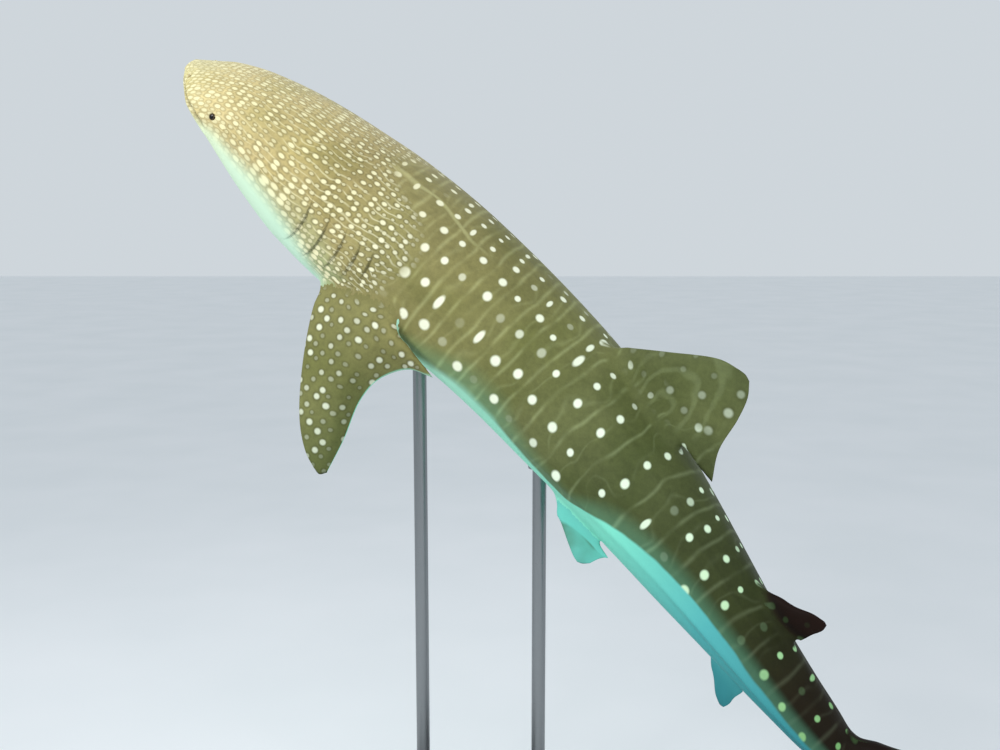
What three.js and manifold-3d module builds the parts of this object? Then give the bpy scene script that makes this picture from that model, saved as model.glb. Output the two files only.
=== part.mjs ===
import * as THREE from 'three';
import Module from 'manifold-3d';
import { mergeVertices } from 'three/addons/utils/BufferGeometryUtils.js';

const wasm = await Module();
wasm.setup();

// Driving sizes. Lengths are millimetres; the animal's own sizes are fractions of its total length.
const TOTAL_LENGTH = 6000;
const JOINT_GAP = 0.3;
const CUT_SWELL = 0.36;

// Pose of the animal at its turning station: nose up, the tail's heading, and the roll that shows the back
const TURN_STATION = 0.35;
const TURN_PLACE = new THREE.Vector3(90, 0, 3020);
const NOSE_UP = 43.7;
const TAIL_HEADING = -11.7;
const BACK_ROLL = 18.9;

// Sideways bends of the swimming body: station, spread, and turn in radians over a total length
const BENDS = [
  { at: 0.15, spread: 0.12, turn: -0.5 },
  { at: 0.45, spread: 0.16, turn: -1.69 },
  { at: 0.75, spread: 0.14, turn: 1.73 },
];

// Half width, rise of the back and drop of the belly at each station from the snout
const BODY_ROWS = [
  { at: -0.006, side: 0.0135, back: 0.0058, belly: 0.006 },
  { at: 0, side: 0.0215, back: 0.0083, belly: 0.0112 },
  { at: 0.006, side: 0.0292, back: 0.0113, belly: 0.0142 },
  { at: 0.02, side: 0.0434, back: 0.02, belly: 0.0228 },
  { at: 0.05, side: 0.0527, back: 0.0345, belly: 0.035 },
  { at: 0.1, side: 0.0662, back: 0.0475, belly: 0.053 },
  { at: 0.15, side: 0.076, back: 0.055, belly: 0.064 },
  { at: 0.2, side: 0.081, back: 0.061, belly: 0.066 },
  { at: 0.28, side: 0.078, back: 0.067, belly: 0.062 },
  { at: 0.36, side: 0.072, back: 0.068, belly: 0.058 },
  { at: 0.44, side: 0.066, back: 0.067, belly: 0.056 },
  { at: 0.52, side: 0.056, back: 0.058, belly: 0.05 },
  { at: 0.6, side: 0.045, back: 0.0475, belly: 0.04 },
  { at: 0.68, side: 0.0335, back: 0.036, belly: 0.028 },
  { at: 0.74, side: 0.0265, back: 0.0275, belly: 0.021 },
  { at: 0.78, side: 0.0215, back: 0.0215, belly: 0.0175 },
  { at: 0.835, side: 0.004, back: 0.006, belly: 0.006 },
];
const SNOUT_TIP = BODY_ROWS[0].at;
const SECTION_POWER = 2.2;

// Long ridges of the skin: elevation round the body at four stations, crest height, reach round the body
const RIDGE_STATIONS = [0.05, 0.2, 0.45, 0.7];
const UPPER_RIDGE = [52, 50, 50, 48];
const MIDDLE_RIDGE = [20, 20, 18, 22];
const LOWER_RIDGE = [-16, -16, -20, 0];
const RIDGE_REACH = 5;
const BACK_CREST = 0.0022;
const SIDE_CREST = 0.0014;
const KEEL_CREST = 0.0075;
const BACK_RIDGE_SPAN = { from: 0.15, full: 0.22, fading: 0.72, to: 0.78 };
const SIDE_RIDGE_SPAN = { from: 0.14, full: 0.24, fading: 0.66, to: 0.76 };
const LOWER_RIDGE_SPAN = { from: 0.2, full: 0.3, fading: 0.79, to: 0.84 };
const KEEL_SPAN = { from: 0.6, full: 0.72, fading: 0.79, to: 0.84 };

// Mouth: its line sits a little under the body's axis and runs back to the corners under the eyes
const MOUTH_CORNER = 0.042;
const MOUTH_LEVEL = -0.003;
const MOUTH_SAG = 0.0075;
const MOUTH_DEPTH = 26;
const MOUTH_HALF_GAP = 5;
const MOUTH_REACH = 0.075;
const FLOOR_SIDES = 20;
const LIP_CREST = 0.0012;
const LIP_OFFSET = 9;
const LIPS_END = 0.056;

// Eyes, with the fold of skin round each, nostrils and spiracles
const EYE_STATION = 0.045;
const EYE_ELEVATION = 5;
const EYE_RADIUS = 24;
const EYE_SUNK = 14;
const EYE_FOLD = 7;
const NOSTRIL_STATION = 0.004;
const NOSTRIL_SPREAD = 0.0232;
const NOSTRIL_RADIUS = 14;
const NOSTRIL_LEVEL = 0.004;
const FEELER_OFFSET = 0.0028;
const FEELER_RADIUS = 8;
const FEELER_LENGTH = 42;
const FEELER_DROP = 6;
const FEELER_TILT = -0.2;
const SPIRACLE_STATION = 0.062;
const SPIRACLE_RADIUS = 13;

// Gill flaps: station and the elevations at the top and foot of each slit
const GILL_SLITS = [
  { at: 0.156, top: 23, foot: -31 },
  { at: 0.177, top: 22, foot: -29 },
  { at: 0.196, top: 21, foot: -24 },
  { at: 0.212, top: 20, foot: -14 },
  { at: 0.2255, top: 18, foot: -5 },
];
const GILL_FLAP_LENGTH = 0.0115;
const GILL_FLAP_RISE = 0.0023;
const GILL_SLIT_DEPTH = 0.0012;
const GILL_SLIT_WIDTH = 0.0009;
const GILL_BOW = 0.0035;
const GILL_ZONE = { from: 0.14, full: 0.152, fading: 0.23, to: 0.245, top: 24, foot: -32 };

// Stations where the body is divided
const HEAD_END = 0.138;
const FRONT_END = 0.3;
const MIDDLE_END = 0.46;
const REAR_END = 0.62;
const TAIL_END = 0.775;
const CORE_END = 0.83;
const SNOUT_STEP = 0.0045;
const BODY_STEP = 0.016;

// Display stand
const BASE_LENGTH = 2500;
const BASE_WIDTH = 1700;
const BASE_THICK = 60;
const BASE_CORNER = 180;
const BASE_BEVEL = 10;
const ROD_RADIUS = 38;
const ROD_FOOT_RADIUS = 130;
const ROD_FOOT_THICK = 24;
const ROD_CUP_RADIUS = 62;
const ROD_CUP_DEPTH = 95;
const ROD_FRONT = new THREE.Vector2(-350, 205);
const ROD_REAR = new THREE.Vector2(310, 15);
const ROD_FRONT_STATION = 0.3;
const ROD_REAR_STATION = 0.45;

const DEGREES = Math.PI / 180;

// A smooth curve through rows of values that never overshoots between two rows
function smoothThrough(places, values) {
  const count = places.length;
  const slopes = [];
  for (let i = 0; i < count - 1; i += 1) {
    slopes.push((values[i + 1] - values[i]) / (places[i + 1] - places[i]));
  }
  const tangents = [slopes[0]];
  for (let i = 1; i < count - 1; i += 1) {
    const product = slopes[i - 1] * slopes[i];
    tangents.push(product > 0 ? (2 * product) / (slopes[i - 1] + slopes[i]) : 0);
  }
  tangents.push(slopes[count - 2]);
  return (place) => {
    const at = THREE.MathUtils.clamp(place, places[0], places[count - 1]);
    let i = 0;
    while (i < count - 2 && at > places[i + 1]) {
      i += 1;
    }
    const span = places[i + 1] - places[i];
    const f = (at - places[i]) / span;
    const rise = values[i + 1] - values[i];
    const a = tangents[i] * span - rise;
    const b = rise - tangents[i + 1] * span;
    return values[i] + rise * f + f * (1 - f) * (a * (1 - f) + b * f);
  };
}

function profile(key) {
  return smoothThrough(BODY_ROWS.map((row) => row.at), BODY_ROWS.map((row) => row[key]));
}

const sideAt = profile('side');
const backAt = profile('back');
const bellyAt = profile('belly');
const upperRidgeAt = smoothThrough(RIDGE_STATIONS, UPPER_RIDGE);
const middleRidgeAt = smoothThrough(RIDGE_STATIONS, MIDDLE_RIDGE);
const lowerRidgeAt = smoothThrough(RIDGE_STATIONS, LOWER_RIDGE);

function ramp(from, to, value) {
  return THREE.MathUtils.smoothstep(value, from, to);
}

// The spine in the animal's own frame: +X towards the tail, +Y to its right, +Z out of its back
const SPINE_STEPS = 600;
const SPINE_END = 1.05;
const spine = [];

function bendAt(station) {
  return BENDS.reduce((sum, bend) => {
    const away = (station - bend.at) / bend.spread;
    return sum + bend.turn * Math.exp(-away * away);
  }, 0);
}

function traceSpine() {
  const step = SPINE_END / SPINE_STEPS;
  let heading = 0;
  const headings = [0];
  for (let i = 1; i <= SPINE_STEPS; i += 1) {
    heading += bendAt((i - 0.5) * step) * step;
    headings.push(heading);
  }
  const turnIndex = Math.round(TURN_STATION / step);
  const atTurn = headings[turnIndex];
  const place = new THREE.Vector3();
  for (let i = 0; i <= SPINE_STEPS; i += 1) {
    const angle = headings[i] - atTurn;
    const along = new THREE.Vector3(Math.cos(angle), Math.sin(angle), 0);
    spine.push({ place: place.clone(), angle });
    place.addScaledVector(along, step * TOTAL_LENGTH);
  }
  const origin = spine[turnIndex].place.clone();
  spine.forEach((point) => point.place.sub(origin));
}

traceSpine();

function spineAt(station) {
  const place = THREE.MathUtils.clamp(station / SPINE_END, 0, 1) * SPINE_STEPS;
  const low = Math.min(Math.floor(place), SPINE_STEPS - 1);
  const part = place - low;
  const angle = THREE.MathUtils.lerp(spine[low].angle, spine[low + 1].angle, part);
  const along = new THREE.Vector3(Math.cos(angle), Math.sin(angle), 0);
  const ahead = Math.min(station, 0) * TOTAL_LENGTH;
  return {
    place: spine[low].place.clone().lerp(spine[low + 1].place, part).addScaledVector(along, ahead),
    along,
    right: new THREE.Vector3(-Math.sin(angle), Math.cos(angle), 0),
    up: new THREE.Vector3(0, 0, 1),
  };
}

// A place given by its station and its offsets to the right and upwards, in fractions of the total length
function bodyPlace(station, right, up) {
  const frame = spineAt(station);
  return frame.place
    .addScaledVector(frame.right, right * TOTAL_LENGTH)
    .addScaledVector(frame.up, up * TOTAL_LENGTH);
}

// A place on the straight line that the snout points along
function snoutPlace(station, right, up) {
  return spineAt(0).along.multiplyScalar(station * TOTAL_LENGTH).add(bodyPlace(0, right, up));
}

function mouthLevel(station) {
  const f = station / MOUTH_CORNER;
  return MOUTH_LEVEL - MOUTH_SAG * f * f;
}

function mouthElevation(station) {
  const height = mouthLevel(Math.min(station, MOUTH_CORNER)) / bellyAt(station);
  return Math.asin(-(Math.min(-height, 1) ** (SECTION_POWER / 2))) / DEGREES;
}

function crest(elevation, line, reach, height) {
  const away = (elevation - line) / reach;
  return height * Math.exp(-away * away);
}

function between(reach, station) {
  return ramp(reach.from, reach.full, station) * (1 - ramp(reach.fading, reach.to, station));
}

// Height of the ridges, lips and keel over the plain section
function relief(station, elevation) {
  const onBack = between(BACK_RIDGE_SPAN, station);
  const onSide = between(SIDE_RIDGE_SPAN, station);
  const keel = between(KEEL_SPAN, station);
  const lips = 1 - ramp(MOUTH_CORNER, LIPS_END, station);
  const lower = SIDE_CREST * between(LOWER_RIDGE_SPAN, station) + (KEEL_CREST - SIDE_CREST) * keel;
  const lowerLine = lowerRidgeAt(station);
  const mouthLine = mouthElevation(station);
  return (
    crest(elevation, 90, RIDGE_REACH, BACK_CREST * onBack)
    + crest(elevation, upperRidgeAt(station), RIDGE_REACH, SIDE_CREST * onSide)
    + crest(elevation, middleRidgeAt(station), RIDGE_REACH, SIDE_CREST * onSide)
    + crest(elevation, lowerLine, RIDGE_REACH * (1 + keel), lower)
    + crest(elevation, mouthLine + LIP_OFFSET, LIP_OFFSET, LIP_CREST * lips)
    + crest(elevation, mouthLine - LIP_OFFSET, LIP_OFFSET, LIP_CREST * lips)
  );
}

// How far the lines of the gills bow back from their station, and how far a flap stands over the skin
function gillBow(station, elevation) {
  const f = (GILL_ZONE.top - elevation) / (GILL_ZONE.top - GILL_ZONE.foot);
  return f > 0 && f < 1 ? GILL_BOW * Math.sin(Math.PI * f) * between(GILL_ZONE, station) : 0;
}

function gillRise(station, elevation) {
  return GILL_SLITS.reduce((sum, slit) => {
    const f = (slit.top - elevation) / (slit.top - slit.foot);
    const back = station - slit.at;
    if (f <= 0 || f >= 1 || back < -GILL_FLAP_LENGTH || back > 2 * GILL_SLIT_WIDTH) {
      return sum;
    }
    const along = back <= 0
      ? GILL_FLAP_RISE * (1 + back / GILL_FLAP_LENGTH)
      : -GILL_SLIT_DEPTH * (1 - Math.abs(back / GILL_SLIT_WIDTH - 1));
    return sum + along * Math.sqrt(Math.sin(Math.PI * f));
  }, 0);
}

// A point on the skin; hand is +1 on the right side and -1 on the left, swell grows the body in millimetres
function skinPoint(station, elevation, hand, swell = 0) {
  const angle = elevation * DEGREES;
  const across = Math.abs(Math.cos(angle)) ** (2 / SECTION_POWER);
  const upward = Math.sign(angle) * Math.abs(Math.sin(angle)) ** (2 / SECTION_POWER);
  const raised = relief(station, elevation) + gillRise(station, elevation) + swell / TOTAL_LENGTH;
  const half = sideAt(station) + raised;
  const tall = (angle > 0 ? backAt(station) : bellyAt(station)) + raised;
  return bodyPlace(station + gillBow(station, elevation), hand * half * across, tall * upward);
}

function skinNormal(station, elevation, hand) {
  const along = skinPoint(station + 0.002, elevation, hand).sub(skinPoint(station - 0.002, elevation, hand));
  const round = skinPoint(station, elevation + 1, hand).sub(skinPoint(station, elevation - 1, hand));
  return along.cross(round).multiplyScalar(-hand).normalize();
}

// The elevations of one side's points, which follow the ridges and, on the head, the lips
function sideElevations(station) {
  const onHead = 1 - ramp(MOUTH_CORNER + 0.01, 0.13, station);
  const mouthLine = mouthElevation(station);
  const upper = upperRidgeAt(station);
  const middle = THREE.MathUtils.lerp(middleRidgeAt(station), mouthLine + LIP_OFFSET + 3, onHead);
  const lower = THREE.MathUtils.lerp(lowerRidgeAt(station), mouthLine - LIP_OFFSET - 1, onHead);
  const reach = RIDGE_REACH;
  return [
    86, 77, (77 + upper) / 2, upper + reach, upper, upper - reach,
    (upper + middle) / 2, middle + reach, middle, middle - reach,
    (middle + lower) / 2, lower + reach, lower, lower - reach,
    (lower - 48) / 2, -48, -64, -78,
  ];
}

function ring(station, swell = 0) {
  const elevations = sideElevations(station);
  const left = elevations.map((elevation) => skinPoint(station, elevation, -1, swell));
  const right = elevations.map((elevation) => skinPoint(station, elevation, 1, swell)).reverse();
  return [skinPoint(station, 90, 1, swell), ...left, skinPoint(station, -90, 1, swell), ...right];
}

// Closed bodies from points and faces
function signedVolume(points, faces) {
  return faces.reduce((sum, [a, b, c]) => {
    const turn = new THREE.Vector3().crossVectors(points[b], points[c]);
    return sum + points[a].dot(turn) / 6;
  }, 0);
}

function solidFrom(points, faces) {
  const outward = signedVolume(points, faces) > 0;
  const vertProperties = new Float32Array(points.flatMap((point) => point.toArray()));
  const triVerts = new Uint32Array(faces.flatMap(([a, b, c]) => (outward ? [a, b, c] : [a, c, b])));
  return new wasm.Manifold(new wasm.Mesh({ numProp: 3, vertProperties, triVerts }));
}

function solidFromGeometry(geometry) {
  const plain = geometry.clone();
  plain.deleteAttribute('normal');
  plain.deleteAttribute('uv');
  const merged = mergeVertices(plain, 1e-4);
  const vertProperties = new Float32Array(merged.attributes.position.array);
  const triVerts = new Uint32Array(merged.index.array);
  return new wasm.Manifold(new wasm.Mesh({ numProp: 3, vertProperties, triVerts }));
}

function centroid(points) {
  const sum = points.reduce((total, point) => total.add(point), new THREE.Vector3());
  return sum.multiplyScalar(1 / points.length);
}

// Rings of equal count joined into a tube, with each end closed by a fan
function loft(rings) {
  const count = rings[0].length;
  const points = rings.flat();
  const faces = [];
  for (let r = 0; r < rings.length - 1; r += 1) {
    for (let i = 0; i < count; i += 1) {
      const a = r * count + i;
      const b = r * count + ((i + 1) % count);
      faces.push([a, b, b + count], [a, b + count, a + count]);
    }
  }
  const last = (rings.length - 1) * count;
  const start = points.push(centroid(rings[0])) - 1;
  const end = points.push(centroid(rings[rings.length - 1])) - 1;
  for (let i = 0; i < count; i += 1) {
    const next = (i + 1) % count;
    faces.push([start, next, i], [end, last + i, last + next]);
  }
  return solidFrom(points, faces);
}

// Rings stand closer at the snout, and at the gills they stand at both sides of each slit
function stationsBetween(from, to) {
  const gills = GILL_SLITS
    .flatMap(({ at }) => [at - GILL_FLAP_LENGTH, at, at + GILL_SLIT_WIDTH, at + 2 * GILL_SLIT_WIDTH])
    .filter((at) => at > from && at < to);
  const marks = [from];
  let at = from;
  while (at < to) {
    const step = SNOUT_STEP + (BODY_STEP - SNOUT_STEP) * ramp(STEPS_GROW_FROM, HEAD_END, at);
    at += step;
    const amongGills = gills.length > 0 && at < gills[gills.length - 1] + step / 2;
    if (at < to - step / 2 && !amongGills) {
      marks.push(at);
    }
  }
  return [...marks, ...gills, to].sort((a, b) => a - b);
}

const HALF_GAP = JOINT_GAP / 2 / TOTAL_LENGTH;
const STEPS_GROW_FROM = -0.02;

function bodyLength(from, to) {
  const start = from > 0 ? from + HALF_GAP : from;
  const rings = stationsBetween(start, to - HALF_GAP).map((station) => ring(station));
  return loft(rings);
}

// The whole body grown by a hair, which clears the roots of the fins and the rods
function swollenBody(swell = CUT_SWELL) {
  const cuts = [SNOUT_TIP, HEAD_END, FRONT_END, MIDDLE_END, REAR_END, TAIL_END];
  const stations = cuts.flatMap((cut, i) => stationsBetween(cut, cuts[i + 1] ?? CORE_END).slice(0, -1));
  return loft([...stations, CORE_END].map((station) => ring(station, swell)));
}

function largestPiece(solid) {
  const pieces = solid.decompose();
  return pieces.reduce((best, piece) => (piece.volume() > best.volume() ? piece : best));
}

// A fin is a patch between four edges, thickened alike on both faces
function finSolid(fin) {
  const { root, tip, lead, trail, thick, edge, across, outward } = fin;
  const middle = (u, v) => {
    const ends = root(u).multiplyScalar(1 - v).addScaledVector(tip(u), v);
    const leadBulge = lead(v).addScaledVector(root(0), v - 1).addScaledVector(tip(0), -v);
    const trailBulge = trail(v).addScaledVector(root(1), v - 1).addScaledVector(tip(1), -v);
    return ends.addScaledVector(leadBulge, 1 - u).addScaledVector(trailBulge, u);
  };
  const small = 0.01;
  const normal = (u, v) => {
    const u0 = Math.max(u - small, 0);
    const u1 = Math.min(u + small, 1);
    const v0 = Math.max(v - small, 0);
    const v1 = Math.min(v + small, 0.97);
    const du = middle(u1, Math.min(v, 0.97)).sub(middle(u0, Math.min(v, 0.97)));
    const dv = middle(u, v1).sub(middle(u, Math.min(v0, v1 - small)));
    return du.cross(dv).normalize();
  };
  const swellAlong = (u) => Math.sqrt(u) * (1 - u) * 2.6;
  const points = [];
  [1, -1].forEach((face) => {
    for (let j = 0; j <= outward; j += 1) {
      for (let i = 0; i <= across; i += 1) {
        const u = i / across;
        const v = j / outward;
        const fade = 1 - ramp(0, 1, v) * 0.8;
        const half = (edge * (1 - 0.5 * v) + thick * fade * swellAlong(u) * (1 - v ** 6)) / 2;
        points.push(middle(u, v).addScaledVector(normal(u, v), face * half));
      }
    }
  });
  const row = across + 1;
  const sheet = row * (outward + 1);
  const faces = [];
  for (let j = 0; j < outward; j += 1) {
    for (let i = 0; i < across; i += 1) {
      const a = j * row + i;
      faces.push([a, a + 1, a + 1 + row], [a, a + 1 + row, a + row]);
      faces.push([sheet + a, sheet + a + 1 + row, sheet + a + 1], [sheet + a, sheet + a + row, sheet + a + 1 + row]);
    }
  }
  const border = [];
  for (let i = 0; i < across; i += 1) border.push(i);
  for (let j = 0; j < outward; j += 1) border.push(j * row + across);
  for (let i = across; i > 0; i -= 1) border.push(outward * row + i);
  for (let j = outward; j > 0; j -= 1) border.push(j * row);
  border.forEach((a, k) => {
    const b = border[(k + 1) % border.length];
    faces.push([a, sheet + b, b], [a, sheet + a, sheet + b]);
  });
  return solidFrom(points, faces);
}

function curveThrough(points) {
  const curve = new THREE.CatmullRomCurve3(points, false, 'centripetal');
  return (f) => curve.getPoint(THREE.MathUtils.clamp(f, 0, 1));
}

// Middle fins lie in the body's own plane: each point is a station and a height over the back or belly
function middleFin(shape, surfaceAt, hand) {
  const curve = (marks) => curveThrough(marks.map(([station, rise]) => {
    const height = surfaceAt(station) + rise;
    return bodyPlace(station, 0, hand * height);
  }));
  return finSolid({
    root: curve(shape.root),
    tip: curve(shape.tip),
    lead: curve(shape.lead),
    trail: curve(shape.trail),
    thick: shape.thick,
    edge: shape.edge,
    across: shape.across,
    outward: shape.outward,
  });
}

const FIRST_DORSAL = {
  root: [[0.405, -0.012], [0.46, -0.012], [0.512, -0.012], [0.531, 0.0035], [0.569, 0.0125]],
  tip: [[0.515, 0.0872], [0.521, 0.0893], [0.527, 0.089]],
  lead: [[0.405, -0.012], [0.43, 0.0075], [0.464, 0.0415], [0.498, 0.0775], [0.515, 0.0872]],
  trail: [[0.569, 0.0125], [0.553, 0.033], [0.544, 0.0625], [0.536, 0.08], [0.527, 0.089]],
  thick: 115,
  edge: 10,
  across: 12,
  outward: 9,
};

const SECOND_DORSAL = {
  root: [[0.648, -0.008], [0.672, -0.008], [0.694, -0.008], [0.7, 0.001], [0.712, 0.005]],
  tip: [[0.705, 0.0355], [0.708, 0.0368], [0.711, 0.0365]],
  lead: [[0.648, -0.008], [0.66, 0.006], [0.685, 0.0205], [0.698, 0.0315], [0.705, 0.0355]],
  trail: [[0.712, 0.005], [0.7105, 0.019], [0.7125, 0.031], [0.711, 0.0365]],
  thick: 60,
  edge: 8,
  across: 9,
  outward: 7,
};

const ANAL_FIN = {
  root: [[0.662, -0.008], [0.684, -0.008], [0.702, -0.008], [0.708, 0.001], [0.72, 0.005]],
  tip: [[0.712, 0.034], [0.7155, 0.0352], [0.719, 0.0345]],
  lead: [[0.662, -0.008], [0.674, 0.006], [0.694, 0.02], [0.706, 0.0305], [0.712, 0.034]],
  trail: [[0.72, 0.005], [0.7175, 0.018], [0.7195, 0.028], [0.719, 0.0345]],
  thick: 55,
  edge: 8,
  across: 9,
  outward: 7,
};

// Paired fins are set out from their root: offsets back, outwards and up, as fractions of the total length
function pairedPlace(origin, hand, [back, out, up]) {
  const start = skinPoint(origin.at, origin.elevation, hand);
  const frame = spineAt(origin.at);
  return start
    .addScaledVector(frame.along, back * TOTAL_LENGTH)
    .addScaledVector(frame.right, hand * out * TOTAL_LENGTH)
    .addScaledVector(frame.up, up * TOTAL_LENGTH);
}

function pairedFin(shape, hand) {
  const place = (offsets) => pairedPlace(shape.origin, hand, offsets);
  const base = shape.base.map(([station, elevation, sunk]) => {
    const inward = skinNormal(station, elevation, hand).multiplyScalar(-sunk * TOTAL_LENGTH);
    return skinPoint(station, elevation, hand).add(inward);
  });
  const start = base[0];
  const rear = base[base.length - 1];
  return finSolid({
    root: curveThrough(base),
    tip: curveThrough(shape.tip.map(place)),
    lead: curveThrough([start, ...shape.lead.map(place), place(shape.tip[0])]),
    trail: curveThrough([rear, ...shape.trail.map(place), place(shape.tip[shape.tip.length - 1])]),
    thick: shape.thick,
    edge: shape.edge,
    across: shape.across,
    outward: shape.outward,
  });
}

const PECTORAL = {
  origin: { at: 0.203, elevation: -33 },
  base: [[0.199, -38, 0.016], [0.23, -19, 0.018], [0.256, -1, 0.014], [0.288, -12, -0.006], [0.338, -26, -0.008]],
  tip: [[0.1035, 0.08, -0.096], [0.1105, 0.081, -0.0965], [0.1145, 0.078, -0.0925]],
  lead: [[0.014, 0.016, -0.021], [0.045, 0.047, -0.059], [0.07, 0.066, -0.0815], [0.09, 0.076, -0.0925]],
  trail: [[0.1085, 0.008, -0.006], [0.095, 0.0215, -0.025], [0.095, 0.036, -0.0435], [0.1065, 0.058, -0.069]],
  thick: 100,
  edge: 12,
  across: 13,
  outward: 10,
};

const PELVIC = {
  origin: { at: 0.5, elevation: -58 },
  base: [[0.486, -64, 0.012], [0.504, -62, 0.012], [0.524, -62, 0.01], [0.54, -62, -0.003], [0.566, -60, -0.006]],
  tip: [[0.0505, 0.0125, -0.0185], [0.0545, 0.0105, -0.0165], [0.058, 0.007, -0.0125]],
  lead: [[0.0, 0.0055, -0.0075], [0.0155, 0.0075, -0.0105], [0.032, 0.0105, -0.015], [0.045, 0.0125, -0.018]],
  trail: [[0.062, -0.0015, -0.0025], [0.0595, 0.002, -0.0065]],
  thick: 40,
  edge: 8,
  across: 8,
  outward: 6,
};

// The two lobes of the tail fin, in stations and heights over the body's axis
const UPPER_LOBE = {
  root: [[0.7765, 0.0], [0.8, 0.0], [0.848, 0.004]],
  tip: [[0.966, 0.1585], [0.97, 0.16], [0.975, 0.156]],
  lead: [[0.7765, 0.0], [0.793, 0.022], [0.8143, 0.0385], [0.86, 0.081], [0.912, 0.126], [0.966, 0.1585]],
  trail: [[0.848, 0.004], [0.882, 0.029], [0.92, 0.066], [0.953, 0.108], [0.975, 0.156]],
  thick: 125,
  edge: 11,
  across: 9,
  outward: 12,
};

const LOWER_LOBE = {
  root: [[0.7768, 0.001], [0.8, 0.001], [0.848, 0.006]],
  tip: [[0.861, -0.118], [0.865, -0.12], [0.869, -0.116]],
  lead: [[0.7768, 0.001], [0.785, -0.02], [0.806, -0.062], [0.834, -0.098], [0.861, -0.118]],
  trail: [[0.848, 0.006], [0.853, -0.02], [0.858, -0.052], [0.865, -0.086], [0.869, -0.116]],
  thick: 100,
  edge: 10,
  across: 9,
  outward: 9,
};

function tailLobe(shape) {
  return middleFin(shape, () => 0, 1);
}

// The slot of the mouth: a thin slab across the snout, whose floor is a smaller snout of plain ovals
const SLOT_STATIONS = [-0.018, 0, 0.014, 0.028, MOUTH_CORNER];
const FLOOR_STATIONS = [0, 0.008, 0.028, 0.056];
const FLOOR_FLATNESS = 0.6;

function mouthSlot() {
  const half = MOUTH_HALF_GAP / TOTAL_LENGTH;
  const sections = SLOT_STATIONS.map((station) => {
    const level = mouthLevel(Math.max(station, 0));
    return [
      snoutPlace(station, -MOUTH_REACH, level - half),
      snoutPlace(station, MOUTH_REACH, level - half),
      snoutPlace(station, MOUTH_REACH, level + half),
      snoutPlace(station, -MOUTH_REACH, level + half),
    ];
  });
  const floor = FLOOR_STATIONS.map((station) => {
    const shrunk = MOUTH_DEPTH / TOTAL_LENGTH;
    const oval = [];
    for (let i = 0; i < FLOOR_SIDES; i += 1) {
      const angle = (2 * Math.PI * i) / FLOOR_SIDES;
      const right = (sideAt(station) - shrunk) * Math.cos(angle);
      const up = (backAt(station) - shrunk * FLOOR_FLATNESS) * Math.sin(angle);
      oval.push(bodyPlace(station, right, up));
    }
    return oval;
  });
  return loft(sections).subtract(loft(floor));
}

function ball(radius, place, squash = new THREE.Vector3(1, 1, 1)) {
  const geometry = new THREE.SphereGeometry(radius, 14, 9);
  geometry.scale(squash.x, squash.y, squash.z);
  geometry.translate(place.x, place.y, place.z);
  return solidFromGeometry(geometry);
}

function eyePlace(hand) {
  const normal = skinNormal(EYE_STATION, EYE_ELEVATION, hand);
  return { centre: skinPoint(EYE_STATION, EYE_ELEVATION, hand).addScaledVector(normal, -EYE_SUNK), normal };
}

function eyeFold(hand) {
  const { centre, normal } = eyePlace(hand);
  const geometry = new THREE.TorusGeometry(EYE_RADIUS + EYE_FOLD * 0.4, EYE_FOLD, 5, 14);
  const turn = new THREE.Quaternion().setFromUnitVectors(new THREE.Vector3(0, 0, 1), normal);
  geometry.applyQuaternion(turn);
  const place = centre.clone().addScaledVector(normal, EYE_SUNK - EYE_FOLD * 0.45);
  geometry.translate(place.x, place.y, place.z);
  return solidFromGeometry(geometry);
}

const NOSTRIL_SHAPE = new THREE.Vector3(0.8, 1, 0.6);

function nostril(hand) {
  return ball(NOSTRIL_RADIUS, bodyPlace(NOSTRIL_STATION, hand * NOSTRIL_SPREAD, NOSTRIL_LEVEL), NOSTRIL_SHAPE);
}

// A short feeler hangs from the outer rim of each nostril
function feeler(hand) {
  const root = bodyPlace(NOSTRIL_STATION, hand * (NOSTRIL_SPREAD + FEELER_OFFSET), NOSTRIL_LEVEL);
  const geometry = new THREE.ConeGeometry(FEELER_RADIUS, FEELER_LENGTH, 6);
  geometry.rotateX(Math.PI);
  geometry.rotateY(FEELER_TILT);
  geometry.translate(root.x, root.y, root.z - FEELER_DROP);
  return solidFromGeometry(geometry);
}

function headSolid() {
  let head = bodyLength(SNOUT_TIP, HEAD_END).subtract(mouthSlot());
  [-1, 1].forEach((hand) => {
    const { centre } = eyePlace(hand);
    head = head.add(eyeFold(hand));
    head = head.subtract(ball(EYE_RADIUS + JOINT_GAP + 0.3, centre));
    head = head.add(feeler(hand));
    head = head.subtract(nostril(hand));
    head = head.subtract(ball(SPIRACLE_RADIUS, skinPoint(SPIRACLE_STATION, EYE_ELEVATION, hand)));
  });
  return largestPiece(head);
}

function caudalSolid() {
  const core = bodyLength(TAIL_END, CORE_END);
  return largestPiece(core.add(tailLobe(UPPER_LOBE)).add(tailLobe(LOWER_LOBE)));
}

// Nodes
const shark = new THREE.Group();
shark.name = 'whale_shark';

function turnShark() {
  const pitch = NOSE_UP * DEGREES;
  const heading = TAIL_HEADING * DEGREES;
  const along = new THREE.Vector3(
    Math.cos(pitch) * Math.cos(heading),
    Math.cos(pitch) * Math.sin(heading),
    -Math.sin(pitch),
  );
  const level = new THREE.Vector3(0, 0, 1).cross(along).normalize();
  const right = level.applyAxisAngle(along, BACK_ROLL * DEGREES);
  const up = new THREE.Vector3().crossVectors(along, right);
  shark.quaternion.setFromRotationMatrix(new THREE.Matrix4().makeBasis(along, right, up));
  shark.position.copy(TURN_PLACE);
  shark.updateMatrixWorld(true);
}

turnShark();

function finish(colour, roughness, metalness = 0) {
  return new THREE.MeshStandardMaterial({ color: colour, roughness, metalness });
}

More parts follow.
